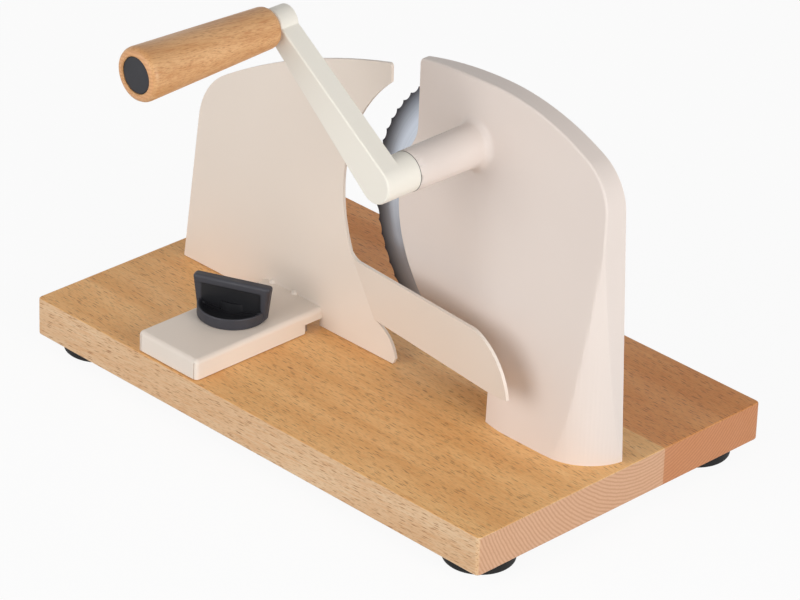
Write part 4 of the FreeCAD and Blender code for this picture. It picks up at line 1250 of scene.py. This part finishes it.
@dataclass
class ClampKnob:
    """Dished round knob with a raised wing, hollowed for finger and thumb."""

    shop: Finisher
    centre: Triple = (-77.5 * MM, -60.2 * MM, 47.4 * MM)
    turn_degrees: float = 24.0
    wing_reach: float = 24 * MM
    wing_half: float = 3.5 * MM
    wing_top: float = 23.6 * MM
    wing_splay: float = 0.06
    lip: float = 4.6 * MM
    hollow: float = 1.3 * MM
    post: float = 4.6 * MM
    boss_reach: tuple[float, float] = (9 * MM, 4.2 * MM)
    boss_top: float = 8.2 * MM
    arch_reach: float = 20 * MM
    arch_rise: float = 4.2 * MM
    arch_height: float = 7.6 * MM
    arch_inset: float = 1.7 * MM
    wing_low: float = 2 * MM
    panel_low: float = 5 * MM
    corner: float = 2.4 * MM
    crown: float = 2.0 * MM
    panel_corner: float = 1.2 * MM
    edge: float = 0.3 * MM
    dish: Profile = (
        (0.0, 0.1),
        (20.9, 0.1),
        (21.6, 0.8),
        (21.6, 6.6),
        (21.3, 7.15),
        (20.8, 7.35),
        (20.2, 7.2),
        (19.4, 6.2),
        (17.8, 4.2),
        (13.0, 2.9),
        (0.0, 2.6),
    )

    def build(self) -> None:
        """Build the knob and dress its stud."""
        added = [(self.wing(), "UNION"), (self.stud_boss(), "UNION")]
        knob = merged(turned_mesh(self.dish, 96), added)
        self.shop.piece(
            turned(knob, "Z", self.turn_degrees, self.centre),
            "wing_knob",
            KNOB_ABS,
            Slot.DARK_PLASTIC,
            Body.CLAMP_KNOB,
            ("knob",),
            edge=self.edge,
            smooth_degrees=38.0,
        )
        self.shop.dress(ZINC_STEEL, "clamp_stud")

    def stud_boss(self) -> Mesh:
        """Thickening at the wing's foot that holds the stud.

        Returns:
            Its shape about Z.
        """
        boss = bmesh.new()
        bmesh.ops.create_cone(
            boss, cap_ends=True, segments=48, radius1=1.0, radius2=0.86, depth=self.boss_top
        )
        bmesh.ops.scale(boss, verts=boss.verts, vec=(*self.boss_reach, 1.0))
        bmesh.ops.translate(boss, verts=boss.verts, vec=(0, 0, self.boss_top / 2 + 0.5 * MM))
        return boss

    def wing(self) -> Mesh:
        """The wing, splayed towards its top, with a lip over each hollow side.

        Returns:
            Its shape about Z.
        """
        wing = block_mesh(
            (-self.wing_reach, -self.wing_half, self.wing_low),
            (self.wing_reach, self.wing_half, self.wing_top),
        )
        for vert in wing.verts:
            splay = self.wing_splay if vert.co.z > self.wing_top / 2 else -self.wing_splay
            vert.co.x *= 1 + splay
        upright = [e for e in wing.edges if abs(e.verts[0].co.z - e.verts[1].co.z) > 5 * MM]
        round_off(wing, upright, self.corner, 6)
        crown = [
            e
            for e in wing.edges
            if min(v.co.z for v in e.verts) > self.wing_top - 1e-5
            and e.calc_face_angle(0.0) > math.radians(60)
        ]
        round_off(wing, crown, self.crown, 4)
        tools = []
        for side in (-1, 1):
            ends = sorted((side * 2 * self.wing_reach, -side * (self.wing_reach - self.post)))
            deep = sorted((side * (self.wing_half - self.hollow), side * 3 * self.wing_half))
            panel = block_mesh(
                (ends[0], deep[0], self.panel_low), (ends[1], deep[1], self.wing_top - self.lip)
            )
            round_off(panel, panel.edges[:], self.panel_corner, 4)
            arch = bmesh.new()
            bmesh.ops.create_cone(
                arch, cap_ends=True, segments=64, radius1=1.0, radius2=1.0, depth=self.wing_half * 2
            )
            turned(arch, "X", 90, ORIGIN)
            bmesh.ops.scale(arch, verts=arch.verts, vec=(self.arch_reach, 1.0, self.arch_rise))
            across = side * (self.wing_half + self.arch_inset)
            bmesh.ops.translate(arch, verts=arch.verts, vec=(0, across, self.arch_height))
            tools += [(panel, "DIFFERENCE"), (arch, "DIFFERENCE")]
        return merged(wing, tools)


@dataclass
class Crank:
    """Crank arm on its shaft, with the drive gear inside the housing."""

    shop: Finisher
    edge: float = 0.35 * MM
    ring: Profile = ((9.0, 0.0), (12.2, 0.0), (12.2, 0.26), (9.0, 0.26))
    ring_place: Triple = (68.5 * MM, -63.52 * MM, 199.67 * MM)

    def build(self) -> None:
        """Build the arm and dress the shaft, gear and spindle."""
        self.shop.piece(
            self.shop.copy_of("crank_arm"),
            "cream_crank",
            CRANK_COAT,
            Slot.CRANK_ENAMEL,
            Body.CRANK,
            ("crank_arm",),
            self.edge,
        )
        # A thin dark ring in the gap between hub and boss: painted shade that darkens the joint
        # line.
        ring = turned(turned_mesh(self.ring), "X", 90, self.ring_place)
        self.shop.piece(ring, "hub_gap_shade_ring", GAP_SHADE_GREY, Slot.DARK_PLASTIC, Body.CRANK, ())
        self.shop.dress(ZINC_STEEL, "crank_shaft", "gear_clip", "crank_set_screw", "handle_spindle")
        self.shop.dress(GEAR_ACETAL, "crank_gear")


@dataclass
class Grip:
    """Turned beech handle with its end cap."""

    shop: Finisher
    start: Triple = (-18.5 * MM, -90.5 * MM, 267.4 * MM)
    profile: Profile = (
        (4.05, 0.0),
        (8.9, 0.0),
        (10.3, 0.35),
        (11.5, 1.2),
        (12.2, 2.4),
        (12.55, 3.9),
        (13.6, 30.0),
        (14.75, 60.0),
        (16.05, 93.5),
        (16.2, 96.4),
        (16.0, 98.2),
        (15.2, 99.8),
        (13.9, 100.75),
        (12.4, 101.0),
        (11.6, 101.0),
        (11.02, 100.4),
        (11.02, 97.5),
        (7.3, 97.5),
        (7.3, 93.9),
        (4.05, 93.9),
    )
    cap: Profile = (
        (0.0, 97.5),
        (10.95, 97.5),
        (10.95, 99.6),
        (10.6, 100.1),
        (10.0, 100.3),
        (6.0, 100.2),
        (0.0, 100.15),
    )

    def build(self) -> None:
        """Turn the grip and its cap."""
        grip = turned(turned_mesh(self.profile, 96), "X", 90, self.start)
        self.shop.piece(
            grip, "turned_grip", GRIP_BEECH, Slot.HANDLE_BEECH, Body.HANDLE, ("handle_grip",)
        )
        cap = turned(turned_mesh(self.cap), "X", 90, self.start)
        self.shop.piece(cap, "grip_end_cap", CAP_ABS, Slot.DARK_PLASTIC, Body.HANDLE, ("grip_cap",))


@dataclass
class BladeWheel:
    """Scalloped round blade with its gear and bush."""

    shop: Finisher
    axle: tuple[float, float] = (75 * MM, 135.5 * MM)
    radius: float = 100 * MM
    scallop_from: float = 97 * MM
    scallop_share: float = 0.35

    def build(self) -> None:
        """Build the blade and dress what turns with it."""
        blade = self.shop.copy_of("blade")
        for vert in blade.verts:
            away = Vector((vert.co.x - self.axle[0], vert.co.z - self.axle[1]))
            if away.length > self.scallop_from:
                shift = away.normalized() * (self.radius - away.length) * self.scallop_share
                vert.co.x += shift.x
                vert.co.z += shift.y
        self.shop.piece(
            blade, "scalloped_blade", KNIFE_STEEL, Slot.BLADE_STEEL, Body.BLADE_WHEEL, ("blade",)
        )
        self.shop.dress(GEAR_ACETAL, "blade_gear")
        self.shop.dress(BEARING_BRONZE, "blade_bush")
        self.shop.dress(ZINC_STEEL, "blade_screws")


@dataclass
class Studio:
    """Pale floor, soft lamps and the camera at the photograph's angle."""

    target: Triple = (-41.52, 46.43, 34.0)
    azimuth: float = 44.609
    elevation: float = 28.112
    roll: float = 2.066
    distance: float = 2751.47
    focal_px: float = 4484.9
    picture_px: float = 800.0
    floor_glow: float = 0.92
    horizon: float = 0.85
    zenith: float = 0.17
    lamps: tuple[tuple[str, Triple, float, float], ...] = (
        ("key", (-0.35, -2.1, 0.9), 1.9, 22.5),
        ("right", (2.1, -0.25, 0.65), 1.3, 25.0),
    )

    def build(self) -> None:
        """Place the camera, the lamps, the world and the floor."""
        self.place_camera()
        self.place_lamps()
        self.paint_world()
        self.lay_floor()
        bpy.context.scene.view_settings.view_transform = "Standard"

    def place_camera(self) -> None:
        """Create the camera and make it the scene's."""
        a, e, r = (math.radians(v) for v in (self.azimuth, self.elevation, self.roll))
        back = Vector((math.sin(a) * math.cos(e), -math.cos(a) * math.cos(e), math.sin(e)))
        level = Vector((math.cos(a), math.sin(a), 0.0))
        upward = back.cross(level)
        right = level * math.cos(r) + upward * math.sin(r)
        up = upward * math.cos(r) - level * math.sin(r)
        data = bpy.data.cameras.new("photograph_view")
        data.sensor_width = 36.0
        data.sensor_fit = "HORIZONTAL"
        data.lens = self.focal_px / self.picture_px * data.sensor_width
        data.clip_end = 20.0
        camera = bpy.data.objects.new("photograph_view", data)
        turn = Matrix((right, up, back)).transposed().to_4x4()
        spot = (Vector(self.target) + back * self.distance) * MM
        camera.matrix_world = Matrix.Translation(spot) @ turn
        bpy.context.scene.collection.objects.link(camera)
        bpy.context.scene.camera = camera

    def place_lamps(self) -> None:
        """Hang the soft lamps round the slicer."""
        aim = Vector((0.0, 0.0, 0.1))
        for name, spot, size, power in self.lamps:
            data = bpy.data.lights.new(f"{name}_lamp", "AREA")
            data.shape = "DISK"
            data.size = size
            data.energy = power
            lamp = bpy.data.objects.new(f"{name}_lamp", data)
            direction = aim - Vector(spot)
            turn = direction.to_track_quat("-Z", "Y").to_matrix().to_4x4()
            lamp.matrix_world = Matrix.Translation(spot) @ turn
            bpy.context.scene.collection.objects.link(lamp)

    def paint_world(self) -> None:
        """White behind everything, and an even glow on the slicer."""
        world = bpy.data.worlds.new("studio_room")
        world.use_nodes = True
        tree = world.node_tree
        tree.nodes.clear()
        direction = put(tree, "ShaderNodeTexCoord").outputs["Generated"]
        strength = ramp(tree, part_of(tree, direction, "Z"), 0.0, 0.8, self.horizon, self.zenith)
        glow = put(tree, "ShaderNodeBackground", {"Color": WHITE, "Strength": strength})
        white = put(tree, "ShaderNodeBackground", {"Color": WHITE, "Strength": 1.0})
        inputs = {0: seen_share(tree), 1: glow.outputs[0], 2: white.outputs[0]}
        mix = put(tree, "ShaderNodeMixShader", inputs)
        put(tree, "ShaderNodeOutputWorld", {"Surface": mix.outputs[0]})
        bpy.context.scene.world = world

    def lay_floor(self) -> None:
        """Lay a wide pale floor that shows the slicer's shadow."""
        bm = bmesh.new()
        bmesh.ops.create_grid(bm, x_segments=1, y_segments=1, size=6.0)
        floor = mesh_from(bm, "pale_floor")
        material, tree, place = blank_material("pale_floor_paint")
        grain = noise(tree, stretched(tree, place, (4.0, 4.0, 4.0)), 2.0, 0.5)
        share = ramp(tree, grain, 0.3, 0.7, 0.0, 1.0)
        tone = blend_colours(tree, share, linear("D4D4D4"), linear("D9D9D9"))
        tone = blend_colours(tree, seen_share(tree), tone, linear("FAFAFA"))
        matt = put(tree, "ShaderNodeBsdfDiffuse", {"Color": tone})
        bright = put(tree, "ShaderNodeEmission", {"Color": WHITE, "Strength": 1.0})
        part = maths(tree, "MULTIPLY", seen_share(tree), self.floor_glow)
        inputs = {0: part, 1: matt.outputs[0], 2: bright.outputs[0]}
        mix = put(tree, "ShaderNodeMixShader", inputs)
        put(tree, "ShaderNodeOutputMaterial", {"Surface": mix.outputs[0]})
        floor.data.materials.append(material)


def main() -> None:
    """Build the slicer."""
    logging.basicConfig(level=logging.INFO, format="%(name)s: %(message)s")
    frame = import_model()
    Studio().build()
    shop = Finisher(frame)
    for assembly in (Board, Housing, Fence, ClampKnob, Crank, Grip, BladeWheel):
        assembly(shop).build()


if __name__ == "__main__":
    main()
